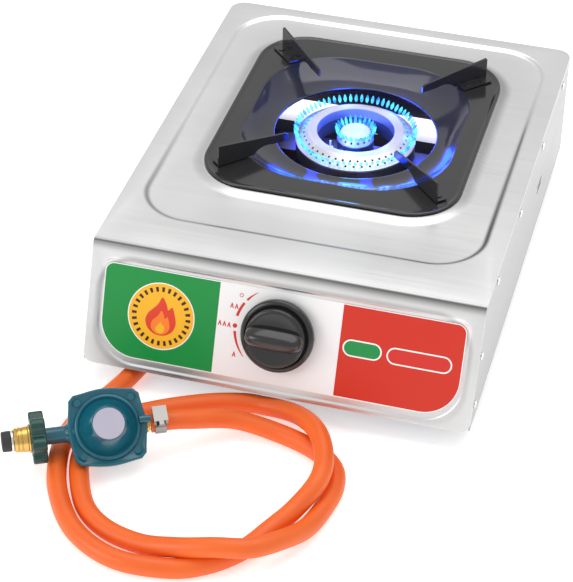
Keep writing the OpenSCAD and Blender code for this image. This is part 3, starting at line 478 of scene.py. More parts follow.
def s_step(width, drop, count=8):
    """Offsets and heights of a pressed step: flat, down an S, flat again."""
    return [(width * k / count, drop * (0.5 - 0.5 * math.cos(math.pi * k / count)))
            for k in range(count + 1)]


def upright(u, v, h):
    return Vector((u, v, h))


print("points in an outline", 4 * (CORNER + SIDE))

# %% Top sheet
recess = {"w": 2 * HALF_W - 0.028, "front": 0.038, "back": 0.011, "r": 0.040, "drop": 0.002, "slope": 0.0042}
opening = {"w": 0.186, "d": 0.210, "r": 0.034}
rim = {"reach": 0.0175, "slope": 0.0105, "rise": 0.0020, "lip": 0.0015}
pocket = {"w": 0.2750, "from": 0.0110, "to": 0.0915, "r_high": 0.0105, "r_low": 0.031, "slope": 0.0026,
          "deep": 0.0006}
SHARP, REAR_R, APRON_R, BEND_R, BEND_ROWS = 1e-5, 0.012, 0.007, 0.004, 10
SHEET = 0.0012
BEND_TURN = math.pi / 2 - math.atan2(-DOWN[1], -DOWN[2])
BEND_CUT = BEND_R * math.tan(BEND_TURN / 2)


def about_burner(grow, r):
    return outline(0, BURNER[1], opening["w"] + 2 * grow, opening["d"] + 2 * grow, (r,) * 4)


def flat_rings():
    """The border, the step down into the recess, the rim and its rolled lip."""
    flat_y = BEND[1] + BEND_CUT
    recess_d = BACK_Y - BEND[1] - recess["front"] - recess["back"]
    ry = BEND[1] + recess["front"] + recess_d / 2
    corners = (REAR_R, REAR_R, SHARP, SHARP)
    rings = [(outline(0, (flat_y + BACK_Y) / 2, 2 * HALF_W, BACK_Y - flat_y, corners), TOP_Z)]
    for off, drop in s_step(recess["slope"], recess["drop"]):
        rings.append((outline(0, ry, recess["w"] - 2 * off, recess_d - 2 * off, (recess["r"] - off,) * 4),
                      TOP_Z - drop))
    low = TOP_Z - recess["drop"]
    for off, rise in s_step(rim["slope"], rim["rise"]):
        grow = rim["reach"] - off
        rings.append((about_burner(grow, opening["r"] + grow), low + rise))
    lip = rim["lip"]
    for k in range(1, 5):
        a = math.pi / 2 * k / 4
        rings.append((about_burner(lip - lip * math.sin(a), opening["r"]),
                      low + rim["rise"] - lip * (1 - math.cos(a))))
    return rings


def add_bend(verts, faces):
    """Rows of points across the front, turned about the bend's centre line."""
    cols = [(-HALF_W + 2 * HALF_W * k / SIDE) for k in range(SIDE + 1)]
    centre = Vector((0, BEND[1] + BEND_CUT, TOP_Z - BEND_R))
    start = len(verts)
    for i in range(BEND_ROWS + 1):
        a = math.pi / 2 + BEND_TURN * i / BEND_ROWS
        verts += [Vector((x, centre[1] + BEND_R * math.cos(a), centre[2] + BEND_R * math.sin(a)))
                  for x in cols]
    for i in range(BEND_ROWS):
        for k in range(SIDE):
            a = start + i * (SIDE + 1) + k
            faces.append((a, a + SIDE + 1, a + SIDE + 2, a + 1))


def on_apron(u, v, h):
    return BEND + Vector((u, 0, 0)) - DOWN * v + OUT * h


def apron_rings():
    """The apron's outline and the step into the label's pocket, in the apron's own plane."""
    s0, s1 = BEND_CUT, APRON_LEN
    rings = [(outline(0, -(s0 + s1) / 2, 2 * HALF_W, s1 - s0, (SHARP, SHARP, APRON_R, APRON_R)), 0.0)]
    p0, p1 = pocket["from"], pocket["to"]
    for off, drop in s_step(pocket["slope"], pocket["deep"], 6):
        high, low = pocket["r_high"] - off, pocket["r_low"] - off
        ring = outline(0, -(p0 + p1) / 2, pocket["w"] - 2 * off, p1 - p0 - 2 * off, (high, high, low, low))
        rings.append((ring, -drop))
    return rings


def build_top_sheet():
    verts, faces = [], []
    bridge(flat_rings(), verts, faces, upright)
    add_bend(verts, faces)
    last, n = bridge(apron_rings(), verts, faces, on_apron)
    faces.append(tuple(range(last, last + n)))
    obj = new_object("top_sheet", verts, faces, STEEL)
    tidy_mesh(obj, 2e-5, recalc=False)
    return obj


print("bend turns", round(math.degrees(BEND_TURN), 1), "degrees")

# %% [markdown]
# Pressed sheet shows its folds as soft dark lines, since the steep part of a step mirrors the sheet next to
# it. Here these lines are painted shade in the steel's colour, heavier on some sides than on others. The group
# below measures how far a point lies from the outline of a rounded rectangle and turns this into a line with
# soft edges. The steel of the top uses it to paint shade at the step, the rim and the label's pocket, and a
# soft band of painted shade runs along the bend.

# %% Outline mask group
def fold_shade_group():
    g, gin, gout = node_group("fold_shade_mask", [
        (label, "NodeSocketFloat", 0.01) for label in ("U", "V", "Half U", "Half V", "Radius", "Width")],
        [("Mask", "NodeSocketFloat")])
    squares = []
    for axis in ("U", "V"):
        inner = math_node(g, "SUBTRACT", gin.outputs["Half " + axis], gin.outputs["Radius"])
        over = math_node(g, "SUBTRACT", math_node(g, "ABSOLUTE", gin.outputs[axis]), inner)
        squares.append(math_node(g, "POWER", math_node(g, "MAXIMUM", over, 0.0), 2.0))
    reach = math_node(g, "SQRT", math_node(g, "ADD", *squares))
    gap = math_node(g, "ABSOLUTE", math_node(g, "SUBTRACT", reach, gin.outputs["Radius"]))
    feed(g, gout.inputs["Mask"], ranged(g, gap, (0, gin.outputs["Width"]), (1, 0), smooth=True))
    return g


FOLD_SHADE_MASK = fold_shade_group()
print("mask group", FOLD_SHADE_MASK.name)

# %% Steel of the top, with painted shade along its folds
# The colour of the painted shade at the folds.
PAINTED_FOLD_SHADE = (0.03, 0.03, 0.03, 1)
LABEL_MID = 0.05125
# half width, half depth, corner radius, line width; painted shade: even, by depth, by width, in all
RECESS_HALF = (BACK_Y - BEND[1] - recess["front"] - recess["back"]) / 2
RECESS_PAINTED_SHADE = (HALF_W - 0.0162, RECESS_HALF - 0.0022, 0.038, 0.0036, 0.20, -0.80, 0.30, 0.85)
RIM_PAINTED_SHADE = (0.1020, 0.1140, 0.043, 0.0085, 0.45, 0.10, 0.10, 0.72)
POCKET_PAINTED_SHADE = (0.1375, 0.0403, 0.026, 0.0040, 0.60, -0.35, -0.10, 0.42)


def painted_fold_shade(tree, u, v, sizes):
    half_u, half_v, radius, width, even, by_v, by_u, strength = sizes
    mask = tree.nodes.new("ShaderNodeGroup")
    mask.node_tree = FOLD_SHADE_MASK
    feed_named(tree, mask.inputs, {"U": u, "V": v, "Half U": half_u, "Half V": half_v, "Radius": radius,
                                   "Width": width})
    # The painted shade is heavier on some sides of the outline than on others.
    side = math_node(tree, "ADD", math_node(tree, "MULTIPLY", v, by_v / half_v),
                     math_node(tree, "MULTIPLY", u, by_u / half_u))
    side = math_node(tree, "ADD", side, even, clamp=True)
    return math_node(tree, "MULTIPLY", math_node(tree, "MULTIPLY", mask.outputs[0], side), strength)


def top_steel_with_painted_shade():
    mat = finish("brushed_stainless_top_painted_shade", (0.76, 0.76, 0.76), (0.84, 0.84, 0.835), BRUSHED, (0.26, 0.38), 1.0,
                 0.25, 0.02, stretch=ALONG_X)
    tree = mat.node_tree
    base_color = tree.nodes["Principled BSDF"].inputs["Base Color"]
    at = object_point(tree)
    split = tree.nodes.new("ShaderNodeSeparateXYZ")
    feed(tree, split.inputs[0], at)
    x, y = split.outputs["X"], split.outputs["Y"]
    down = vector_node(tree, "DOT_PRODUCT", at, DOWN).outputs["Value"]
    recess_mid = BEND[1] + (BACK_Y - BEND[1] + recess["front"] - recess["back"]) / 2
    middles = ((y, recess_mid, RECESS_PAINTED_SHADE), (y, BURNER[1], RIM_PAINTED_SHADE),
               (down, BEND.dot(DOWN) + LABEL_MID, POCKET_PAINTED_SHADE))
    # Painted shade: a soft band along the bend into the apron, then a line along each outline.
    bend = math_node(tree, "ABSOLUTE", math_node(tree, "SUBTRACT", y, BEND[1] + 0.0004))
    dark = ranged(tree, bend, (0, 0.0034), (0.80, 0), smooth=True)
    for v, middle, sizes in middles:
        line = painted_fold_shade(tree, x, math_node(tree, "SUBTRACT", v, middle), sizes)
        dark = math_node(tree, "MAXIMUM", dark, line)
    # The steel's colour is mixed towards the shade colour wherever shade is painted.
    feed(tree, base_color, mixed_color(tree, dark, base_color.links[0].from_socket, PAINTED_FOLD_SHADE))
    return mat


TOP_STEEL_PAINTED_SHADE = top_steel_with_painted_shade()
print("folds drawn on", TOP_STEEL_PAINTED_SHADE.name)

# %% Build the top sheet
def give_thickness(obj, name, thickness):
    mod = obj.modifiers.new(name, "SOLIDIFY")
    mod.thickness = thickness
    mod.offset = -1


top_sheet = build_top_sheet()
top_sheet.data.materials[0] = TOP_STEEL_PAINTED_SHADE
give_thickness(top_sheet, "sheet_thickness", SHEET)
shade(top_sheet, 40)
bevel(top_sheet, 0.3, 2, 50)
stands_for(top_sheet, "top_shell")
print("top sheet faces", len(top_sheet.data.polygons))

# %% [markdown]
# Narrow flanges are folded down inside the border, where the side and back panels are screwed on. They
# are plain strips, so a box with rounded edges is the honest shape.

# %% Inner flanges of the top
PANEL_T = 0.001
FLANGE_H = 0.014
flange_span = (TOP_Z - FLANGE_H, TOP_Z - SHEET - 0.0001)


def strip(name, xs, ys, zs):
    verts = [(x, y, z) for z in zs for y in ys for x in xs]
    faces = [(0, 2, 3, 1), (4, 5, 7, 6), (0, 1, 5, 4), (2, 6, 7, 3), (0, 4, 6, 2), (1, 3, 7, 5)]
    obj = new_object(name, verts, faces, STEEL)
    bevel(obj, 0.3)
    shade(obj, 30)
    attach(obj, "stove")


for side, label in ((-1, "left"), (1, "right")):
    x_out = side * (HALF_W - PANEL_T)
    x_in = x_out - side * SHEET
    strip("top_flange_" + label, sorted((x_in, x_out)), (BEND[1] + 0.012, BACK_Y - 0.014), flange_span)
strip("top_flange_back", (-HALF_W + 0.022, HALF_W - 0.022),
      (BACK_Y - 2 * PANEL_T - SHEET, BACK_Y - 2 * PANEL_T), flange_span)
print("flanges hang to", round(flange_span[0], 4))

# %% [markdown]
# The drip tray is pressed from one round-cornered sheet and enamelled black. Its rim is a rolled bead, the
# flange is flat, and the bowl turns from a rounded rectangle into a circle around the burner. Mixing the
# two outlines point by point gives that change of shape without a seam.

# %% Drip tray
HOLE_R, TRAY_R, TRAY_SHEET = 0.0643, 0.040, 0.0008
BOWL_W, BOWL_D, BOWL_R = 0.166, 0.177, 0.060
BEAD = [(0.25, -1.75), (0.0, -1.2), (0.0, -0.9), (0.25, -0.4), (0.8, -0.08), (1.5, 0.0), (2.2, -0.08),
        (2.9, -0.35), (3.5, -0.62), (4.4, -0.75), (6.0, -0.8)]
BOWL_EDGE = [(-1.2, 0.0), (-0.5, -0.06), (0.0, -0.3), (0.5, -0.8)]
BOWL_STEPS = 16


def mixed(a, b, t):
    return [(p[0] + (q[0] - p[0]) * t, p[1] + (q[1] - p[1]) * t) for p, q in zip(a, b)]


def inset(w, d, r, by):
    return outline(0, BURNER[1], w - 2 * by, d - 2 * by, (r - by,) * 4)


def build_tray():
    w, d = tray_hi[0] - tray_lo[0], tray_hi[1] - tray_lo[1]
    flange_z = TRAY_TOP - 0.8 * MM
    edge_z = flange_z - 0.8 * MM
    hole_z = TRAY_TOP - 12 * MM
    rings = [(inset(w, d, TRAY_R, o * MM), TRAY_TOP + h * MM) for o, h in BEAD]
    rings += [(inset(BOWL_W, BOWL_D, BOWL_R, o * MM), flange_z + h * MM) for o, h in BOWL_EDGE]
    start = outline(0, BURNER[1], 0.165, 0.176, (0.0595,) * 4)
    hole = outline(0, BURNER[1], 2 * HOLE_R, 2 * HOLE_R, (HOLE_R - SHARP,) * 4)
    for k in range(1, BOWL_STEPS + 1):
        t = k / BOWL_STEPS
        fall = 1 - (1 - t) ** 2.4
        rings.append((mixed(start, hole, t), edge_z + (hole_z + 0.9 * MM - edge_z) * fall))
    for k in range(1, 6):
        a = math.pi * k / 6
        grow = 0.8 * MM * math.sin(a) * 0.8
        across = 2 * HOLE_R - 2 * grow
        ring = outline(0, BURNER[1], across, across, (HOLE_R - grow - SHARP,) * 4)
        rings.append((ring, hole_z + 0.9 * MM * math.cos(a)))
    verts, faces = [], []
    bridge(rings, verts, faces, upright)
    obj = new_object("drip_tray", verts, faces, ENAMEL)
    tidy_mesh(obj, 1e-6, recalc=False)
    return obj


drip_tray = build_tray()
give_thickness(drip_tray, "tray_thickness", TRAY_SHEET)
shade(drip_tray, 50)
stands_for(drip_tray, "spill_tray")
print("tray faces", len(drip_tray.data.polygons))

# %% [markdown]
# Moulded knobs are turned shapes with something added: a lathe profile gives the skirt, the groove and
# the face, and the grip is a smooth ridge over the face, widest and highest in the middle.

# %% Lathe helper
def lathe(profile, place, steps=96):
    """Turns (radius, height) points in mm about an axis; place(x, y, h) puts them in the model."""
    verts = [place(x, y, h) for r, h in profile for x, y in circle(max(r, 1e-4), steps)]
    faces = []
    for i in range(len(profile) - 1):
        for k in range(steps):
            a, b = i * steps + k, i * steps + (k + 1) % steps
            faces.append((a, b, b + steps, a + steps))
    return verts, faces


def knob_place(x, y, h):
    return KNOB_AT + Vector((x, 0, 0)) * MM - DOWN * (y * MM) + OUT * (h * MM)


print("knob stands at", [round(c, 4) for c in KNOB_AT])

# %% Control knob
KNOB_PROFILE = [
    (7.0, 4.4), (7.0, 8.0), (23.6, 8.0), (24.8, 7.0), (24.9, 3.8), (25.8, 3.6), (26.6, 3.9), (27.0, 4.6),
    (27.0, 7.2), (26.7, 8.4), (25.9, 9.3), (24.8, 9.7), (23.7, 9.8), (23.2, 9.4), (23.0, 8.6), (22.4, 8.3),
    (21.9, 8.8), (21.85, 10.0), (21.8, 13.8), (21.4, 14.9), (20.6, 15.5), (19.6, 15.6), (18.0, 15.4),
    (12.0, 15.1), (6.0, 15.0), (0.0, 15.0)]
GRIP_LENGTH, GRIP_HALF, GRIP_CREST, GRIP_BASE = 21.2, 6.9, 26.0, 14.4
GRIP_COLS, GRIP_ROWS = 44, 20


def build_knob():
    verts, faces = lathe(KNOB_PROFILE, knob_place)
    start, n = len(verts), GRIP_ROWS + 1
    for i in range(GRIP_COLS + 1):
        x = -GRIP_LENGTH + 2 * GRIP_LENGTH * i / GRIP_COLS
        u = x / GRIP_LENGTH
        taper = max(0.0, 1 - abs(u) ** 6) ** 0.5
        width = GRIP_HALF * (1 - 0.18 * u * u) * (0.35 + 0.65 * taper)
        high = (GRIP_CREST - GRIP_BASE - 1.2 * u * u) * taper ** 0.7
        for j in range(n):
            a = math.pi * j / GRIP_ROWS
            c = math.cos(a)
            y = width * (1.25 * c if abs(c) > 0.98 else c * (1 + 0.25 * abs(c) ** 8))
            verts.append(knob_place(x, y, GRIP_BASE + high * math.sin(a) ** 0.75))
    for i in range(GRIP_COLS):
        for j in range(GRIP_ROWS):
            a = start + i * n + j
            faces.append((a, a + n, a + n + 1, a + 1))
    obj = new_object("control_knob", verts, faces, KNOB_BLACK)
    tidy_mesh(obj)
    return obj


knob = build_knob()
shade(knob, 50)
stands_for(knob, "knob")
print("knob faces", len(knob.data.polygons))

# %% [markdown]
# The regulator is a die casting: a four-cornered flange with bowed sides, a raised ring and a bell-shaped
# cover. One outline with four corners and one lathe profile give both halves.

# %% Regulator frame and outline
REG_AT, REG_TILT, REG_TURN = Vector((-0.099, -0.269, 0.0265)), math.radians(41), math.radians(27.5)
REG = Matrix.Translation(REG_AT) @ Matrix.Rotation(REG_TURN, 4, "Z") @ Matrix.Rotation(REG_TILT, 4, "X")
HALF_SIDE, BOW, HALF_ARC = 24.9, 2.7, 40.5


def on_reg(x, y, h):
    return REG @ (Vector((x, y, h)) * MM)


def bowed_square(drop, steps=14):
    """Outline with four cut corners at 45 degrees and sides that bow outwards."""
    pts = []
    for quarter in range(4):
        for k in range(steps + 1):
            phi = math.radians(-HALF_ARC + 2 * HALF_ARC * k / steps)
            r = (HALF_SIDE / math.cos(phi) + BOW * math.cos(phi * 90 / HALF_ARC)) - drop
            a = phi + quarter * math.pi / 2
            pts.append((r * math.cos(a), r * math.sin(a)))
    return pts


def stacked(rings, place, cap_low=True):
    """rings is a list of (outline, height) in mm; neighbours are joined by quads."""
    n = len(rings[0][0])
    verts = [place(x, y, h) for pts, h in rings for x, y in pts]
    faces = [(i * n + k, i * n + (k + 1) % n, (i + 1) * n + (k + 1) % n, (i + 1) * n + k)
             for i in range(len(rings) - 1) for k in range(n)]
    if cap_low:
        faces.append(tuple(reversed(range(n))))
    return verts, faces + [tuple(range(len(verts) - n, len(verts)))]


def joined(name, parts, paint):
    verts, faces = [], []
    for v, f in parts:
        base = len(verts)
        verts += v
        faces += [tuple(i + base for i in face) for face in f]
    obj = new_object(name, verts, faces, paint)
    tidy_mesh(obj)
    return obj


def cast(name, parts, paint, node):
    obj = joined(name, parts, paint)
    shade(obj, 40)
    return stands_for(obj, node)


print("regulator stands at", [round(c, 4) for c in REG_AT])

# %% Regulator cover, cap and body
def along_stem(profile, y=0.0, z=0.0, steps=48):
    """Lathe about the stem: profile is (x, radius) in mm."""
    return stacked([(circle(r, steps), x) for x, r in profile], lambda a, b, x: on_reg(x, y + a, z + b))


def flange(*levels):
    return stacked([(bowed_square(drop), height) for drop, height in levels], on_reg)


cover = cast("regulator_cover_shape", [
    flange((0.3, 5.6), (0, 6.0), (0, 8.2), (0.3, 8.9), (1.0, 9.2), (2.0, 9.0), (2.8, 8.4)),
    lathe([(23.6, 6.0), (23.4, 9.0), (22.9, 10.0), (22.2, 10.5), (21.3, 10.6), (20.6, 10.2), (20.1, 9.4),
           (19.4, 9.1), (18.6, 9.6), (17.6, 11.3), (16.2, 14.2), (14.6, 17.8), (13.2, 21.2), (12.2, 23.4),
           (11.4, 24.7), (10.6, 25.2), (0, 25.2)], on_reg, 72),
    along_stem([(22.5, 2.7), (30.2, 2.7), (30.6, 2.3)], 2.0, 10.4, 24)], TEAL, "regulator_cover")
cap = cast("regulator_cap_shape", [lathe([(11.0, 24.6), (11.0, 25.7), (10.6, 26.1), (0, 26.15)], on_reg, 64)],
           LILAC, "regulator_cap")
body = cast("regulator_body_shape", [
    flange((2.5, 2.0), (0.8, 2.1), (0.2, 2.6), (0.2, 5.2)),
    lathe([(0, -10.5), (11.0, -10.5), (13.5, -9.5), (16.5, -5.0), (20.5, -1.0), (22.8, 1.0), (23.4, 2.4)],
          on_reg, 72),
    along_stem([(-43.0, 5.6), (-42.6, 6.0), (-30.0, 6.0), (-28.5, 6.4), (-27.0, 8.0), (-20.0, 9.2),
                (-12.0, 9.6)]),
    along_stem([(12.0, 9.2), (26.5, 7.4), (28.2, 6.6), (28.6, 6.0)])], TEAL, "regulator_body")
print("regulator faces", len(cover.data.polygons) + len(body.data.polygons))

# %% [markdown]
# Pieces that follow a rule are grown by Geometry Nodes. The handwheel is a disc whose edge is pulled in at
# even steps: the tree takes the number of lobes, the radius, the depth of the dips and the thickness. The
# result is kept as a plain mesh, so the tree is only the recipe.

# %% Geometry Nodes helpers
def growth_tree(name, inputs):
    tree = bpy.data.node_groups.new(name, "GeometryNodeTree")
    tree.interface.new_socket("Geometry", in_out="INPUT", socket_type="NodeSocketGeometry")
    for label, kind, value in inputs:
        tree.interface.new_socket(label, in_out="INPUT", socket_type=kind).default_value = value
    tree.interface.new_socket("Geometry", in_out="OUTPUT", socket_type="NodeSocketGeometry")
    return tree, tree.nodes.new("NodeGroupInput"), tree.nodes.new("NodeGroupOutput")


def grow_node(tree, kind, values):
    n = tree.nodes.new("GeometryNode" + kind)
    feed_named(tree, n.inputs, values)
    return n.outputs[0]


def grown(name, tree, values, place):
    """Runs the tree once on an empty object and keeps the result as a plain mesh, laid in its place."""
    host = new_object(name + "_host", [], [])
    mod = host.modifiers.new("grow", "NODES")
    mod.node_group = tree
    ids = {item.name: item.identifier for item in tree.interface.items_tree
           if item.item_type == "SOCKET" and item.in_out == "INPUT"}
    for label, value in values.items():
        mod[ids[label]] = value
    mesh = bpy.data.meshes.new_from_object(host.evaluated_get(bpy.context.evaluated_depsgraph_get()))
    bpy.data.objects.remove(host)
    mesh.transform(place)
    return linked(bpy.data.objects.new(name, mesh))


print("growth helpers ready")

# %% Lobed wheel tree
WHEEL_POINTS = 180


def wheel_tree():
    tree, gin, gout = growth_tree("lobed_wheel", [
        ("Lobes", "NodeSocketInt", 6), ("Radius", "NodeSocketFloat", 0.018),
        ("Dip", "NodeSocketFloat", 0.003), ("Thickness", "NodeSocketFloat", 0.010),
        ("Finish", "NodeSocketMaterial", None)])
    line = grow_node(tree, "CurvePrimitiveCircle", {
        "Resolution": WHEEL_POINTS, "Radius": gin.outputs["Radius"]})
    index = grow_node(tree, "InputIndex", {})
    turn = math_node(tree, "MULTIPLY", index, 2 * math.pi / WHEEL_POINTS)
    wave = math_node(tree, "COSINE", math_node(tree, "MULTIPLY", turn, gin.outputs["Lobes"]))
    dip = math_node(tree, "POWER", math_node(tree, "MULTIPLY_ADD", wave, 0.5, 0.5, clamp=True), 1.6)
    pull = math_node(tree, "MULTIPLY", math_node(tree, "MULTIPLY", dip, gin.outputs["Dip"]), -1.0)
    unit = vector_node(tree, "NORMALIZE", grow_node(tree, "InputPosition", {}))
    inward = vector_node(tree, "SCALE", unit.outputs[0])
    feed(tree, inward.inputs["Scale"], pull)
    fill = tree.nodes.new("GeometryNodeFillCurve")
    fill.mode = "NGONS"
    pulled = grow_node(tree, "SetPosition", {"Geometry": line, "Offset": inward.outputs[0]})
    feed(tree, fill.inputs[0], pulled)
    face = fill.outputs[0]
    both = tree.nodes.new("GeometryNodeJoinGeometry")
    for half in (grow_node(tree, "ExtrudeMesh", {"Mesh": face, "Offset Scale": gin.outputs["Thickness"]}),
                 grow_node(tree, "FlipFaces", {0: face})):
        feed(tree, both.inputs[0], half)
    merged = grow_node(tree, "MergeByDistance", {0: both.outputs[0], "Distance": 1e-6})
    real = grow_node(tree, "RealizeInstances", {0: merged})
    feed(tree, gout.inputs[0], grow_node(tree, "SetMaterial", {0: real, "Material": gin.outputs["Finish"]}))
    return tree


WHEEL_FROM = -0.0535
along_x = Matrix.Translation((WHEEL_FROM, 0, 0)) @ Matrix.Rotation(math.pi / 2, 4, "Y")
WHEEL_SIZES = {"Lobes": 6, "Radius": 0.0186, "Dip": 0.0052, "Thickness": 0.0105, "Finish": GREEN}
wheel = grown("handwheel_shape", wheel_tree(), WHEEL_SIZES, REG @ along_x)
tidy_mesh(wheel, 1e-7)
shade(wheel)
bevel(wheel, 1.4, 3, 60)
stands_for(wheel, "handwheel")

# %% [markdown]
# The coupling is turned on a lathe too: a brass nut with two grooves, a bright collar and a black rubber
# nose that seals in the cylinder's valve. The collar has no node of its own, so it only rides along.

# %% Cylinder nut and nose
nut = cast("cylinder_nut_shape", [along_stem([
    (-65.2, 0), (-65.2, 7.8), (-64.8, 8.5), (-62.9, 8.9), (-62.6, 8.4), (-62.2, 8.4), (-61.9, 9.0),
    (-60.0, 9.1), (-59.7, 8.6), (-59.3, 8.6), (-59.0, 9.1), (-55.6, 9.2), (-55.3, 8.8), (-55.0, 10.0),
    (-54.0, 10.1), (-53.3, 9.6), (-53.3, 0)])], BRASS, "cylinder_nut")
nose = cast("nose_seal_shape", [along_stem([
    (-69.8, 0), (-69.8, 3.6), (-73.4, 4.4), (-73.9, 5.0), (-73.8, 6.5), (-73.2, 7.2), (-67.6, 7.4),
    (-67.2, 6.6), (-65.0, 6.6), (-65.0, 0)])], RUBBER, "nose_seal")
collar = joined("nose_collar", [along_stem([
    (-67.3, 0), (-67.3, 7.3), (-66.9, 7.8), (-65.7, 7.8), (-65.3, 7.3), (-65.3, 0)])], BRIGHT)
shade(collar, 40)
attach(collar, "cylinder_coupling")
print("coupling faces", len(nut.data.polygons) + len(nose.data.polygons) + len(collar.data.polygons))

# %% [markdown]
# Printing is a film of ink a few hundredths of a millimetre thick. Each mark is a flat prism laid on the
# label, in apron coordinates: x across and s down the slope. Marks are plain shapes without lettering.

# %% Inks and flat prisms
def ink(name, color):
    near = tuple(min(1.0, c * 1.06 + 0.004) for c in color)
    return finish(name, color, near, MOTTLE, (0.34, 0.44), 0.0, 0.04, scale=600)


INK = {
    "white": ink("white_ink", (0.88, 0.88, 0.87)), "yellow": ink("yellow_ink", (0.90, 0.47, 0.012)),
    "red": ink("red_ink", (0.62, 0.020, 0.010)), "flame": ink("flame_ink", (0.72, 0.045, 0.015)),
    "orange": ink("orange_ink", (0.92, 0.22, 0.015)), "brown": ink("dark_ink", (0.035, 0.008, 0.006)),
    "green": ink("green_ink", (0.0, 0.26, 0.050))}
print_parts = {key: [] for key in INK}


def on_label(x, s, h):
    return BEND + Vector((x, 0, 0)) * MM + DOWN * (s * MM) + OUT * (h * MM)


def flat_mark(key, points, level=1):
    """Each level of ink ends 0.05 mm higher than the one below it."""
    top, low = -0.10 + 0.05 * level, -0.20
    print_parts[key].append(stacked([(points, low), (points, top)], on_label, cap_low=False))


def disc(cx, cs, r, steps=48):
    return [(cx + x, cs - y) for x, y in circle(r, steps)]


def capsule(x0, x1, s, r, steps=12):
    arc = [(r * math.sin(math.pi * k / steps), r * math.cos(math.pi * k / steps)) for k in range(steps + 1)]
    return [(x1 - r + x, s - y) for x, y in arc] + [(x0 + r - x, s + y) for x, y in arc]


def chevron(cx, cs, w=2.9, h=3.8, t=0.95):
    return [(cx - w / 2, cs + h / 2), (cx - 0.25, cs - h / 2), (cx + 0.25, cs - h / 2),
            (cx + w / 2, cs + h / 2), (cx + w / 2 - t, cs + h / 2), (cx, cs - h / 2 + 1.9),
            (cx - w / 2 + t, cs + h / 2)]


def dial_arc(a0, a1, w0, w1, r=33.2, steps=16):
    """Tapered arc left of the knob; angles run up from the left, widths are at the two ends."""
    outer, inner = [], []
    for k in range(steps + 1):
        a = math.radians(a0 + (a1 - a0) * k / steps)
        half = (w0 + (w1 - w0) * k / steps) / 2
        for pts, rr in ((outer, r + half), (inner, r - half)):
            pts.append((-rr * math.cos(a), KNOB_DOWN / MM - rr * math.sin(a)))
    return outer + inner[::-1]

# %% Emblem
EMBLEM = (-88.8, 49.4)
TICKS = 28
TICK = ((18.6, -0.9), (22.2, -1.1), (22.2, 1.1), (18.6, 0.9))
FLAME = [(0, -15), (3.5, -10), (5, -6), (8, -8.5), (10.5, -2), (11.5, 4), (9.5, 9.5), (5, 13), (0, 14),
         (-5, 13), (-9.5, 9.5), (-11.5, 4), (-10, -1.5), (-6.5, -5.5), (-3, -9.5)]


def smooth_loop(points, steps=6):
    n = len(points)
    out = []
    for i in range(n):
        a, b, c, d = (Vector(points[(i + j) % n]) for j in (-1, 0, 1, 2))
        for k in range(steps):
            t = k / steps
            p = 0.5 * (2 * b + (c - a) * t + (2 * a - 5 * b + 4 * c - d) * t * t
                       + (3 * b - a - 3 * c + d) * t ** 3)
            out.append((p[0], p[1]))
    return out


flat_mark("white", disc(*EMBLEM, 25.4))
flat_mark("yellow", disc(*EMBLEM, 24.6), 2)
for k in range(TICKS):
    a = 2 * math.pi * k / TICKS
    c, s = math.cos(a), math.sin(a)
    flat_mark("brown", [(EMBLEM[0] + r * c - w * s, EMBLEM[1] - r * s - w * c) for r, w in TICK], 3)
for key, size, shift, level in (("flame", 1.0, 0.5, 3), ("orange", 0.62, 5.0, 4), ("yellow", 0.3, 8.6, 5)):
    flat_mark(key, [(EMBLEM[0] + x * size, EMBLEM[1] + y * size + shift)
                    for x, y in smooth_loop(FLAME)], level)
print("emblem marks", sum(len(parts) for parts in print_parts.values()))

# %% Dial, capsules and edge line
OPEN_RING = (-30.6, 22.6)
for span in ((38, 56, 1.7, 0.35), (13, 33, 2.1, 1.8), (-31, -7, 1.2, 2.1), (-42, -31, 0.4, 1.2)):
    flat_mark("red", dial_arc(*span))
flat_mark("red", disc(-33.2, KNOB_DOWN / MM, 1.7, 24))
flat_mark("red", disc(*OPEN_RING, 1.5, 24))
flat_mark("white", disc(*OPEN_RING, 0.95, 24), 2)
for at in ((-36.9, 31.2), (-33.4, 31.4), (-44.6, 45.6), (-41.1, 45.8), (-37.6, 46.0), (-31.8, 67.4)):
    flat_mark("red", chevron(*at))
for x0, x1, s, fill_key in ((46.8, 75.6, 46.8, "green"), (79.0, 126.6, 47.0, "red")):
    flat_mark("white", capsule(x0, x1, s, 6.4))
    flat_mark(fill_key, capsule(x0 + 1.1, x1 - 1.1, s, 5.3), 2)
edge_out = outline(0, -50, 268, 70, (7.2, 7.2, 27.2, 27.2))
edge_in = outline(0, -50, 266.6, 68.6, (6.5, 6.5, 26.5, 26.5))
n = len(edge_out)
edge_rings = ((edge_out, -0.05), (edge_in, -0.05), (edge_in, -0.2), (edge_out, -0.2))
verts = [on_label(x, -y, h) for pts, h in edge_rings for x, y in pts]
faces = [(r * n + k, r * n + (k + 1) % n, (r + 1) % 4 * n + (k + 1) % n, (r + 1) % 4 * n + k)
         for r in range(4) for k in range(n)]
print_parts["white"].append((verts, faces))
for key, parts in print_parts.items():
    marks = joined("label_" + key, parts, INK[key])
    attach(marks, "stove")
print("marks in each ink", {key: len(parts) for key, parts in print_parts.items()})

# %% [markdown]
# Turned, bent and drilled pieces already have the right shape in the frame. Their copy is merged, its flat
# areas are joined again, and a fine bevel gives every edge the thin highlight that real edges have.

# %% Finish the frame's own pieces
EDGE = {"steel": 0.25, "fastener": 0.2, "casting": 0.5, "burner_metal": 0.3, "enamel": 0.25, "rubber": 0.6,
        "label": 0.05}


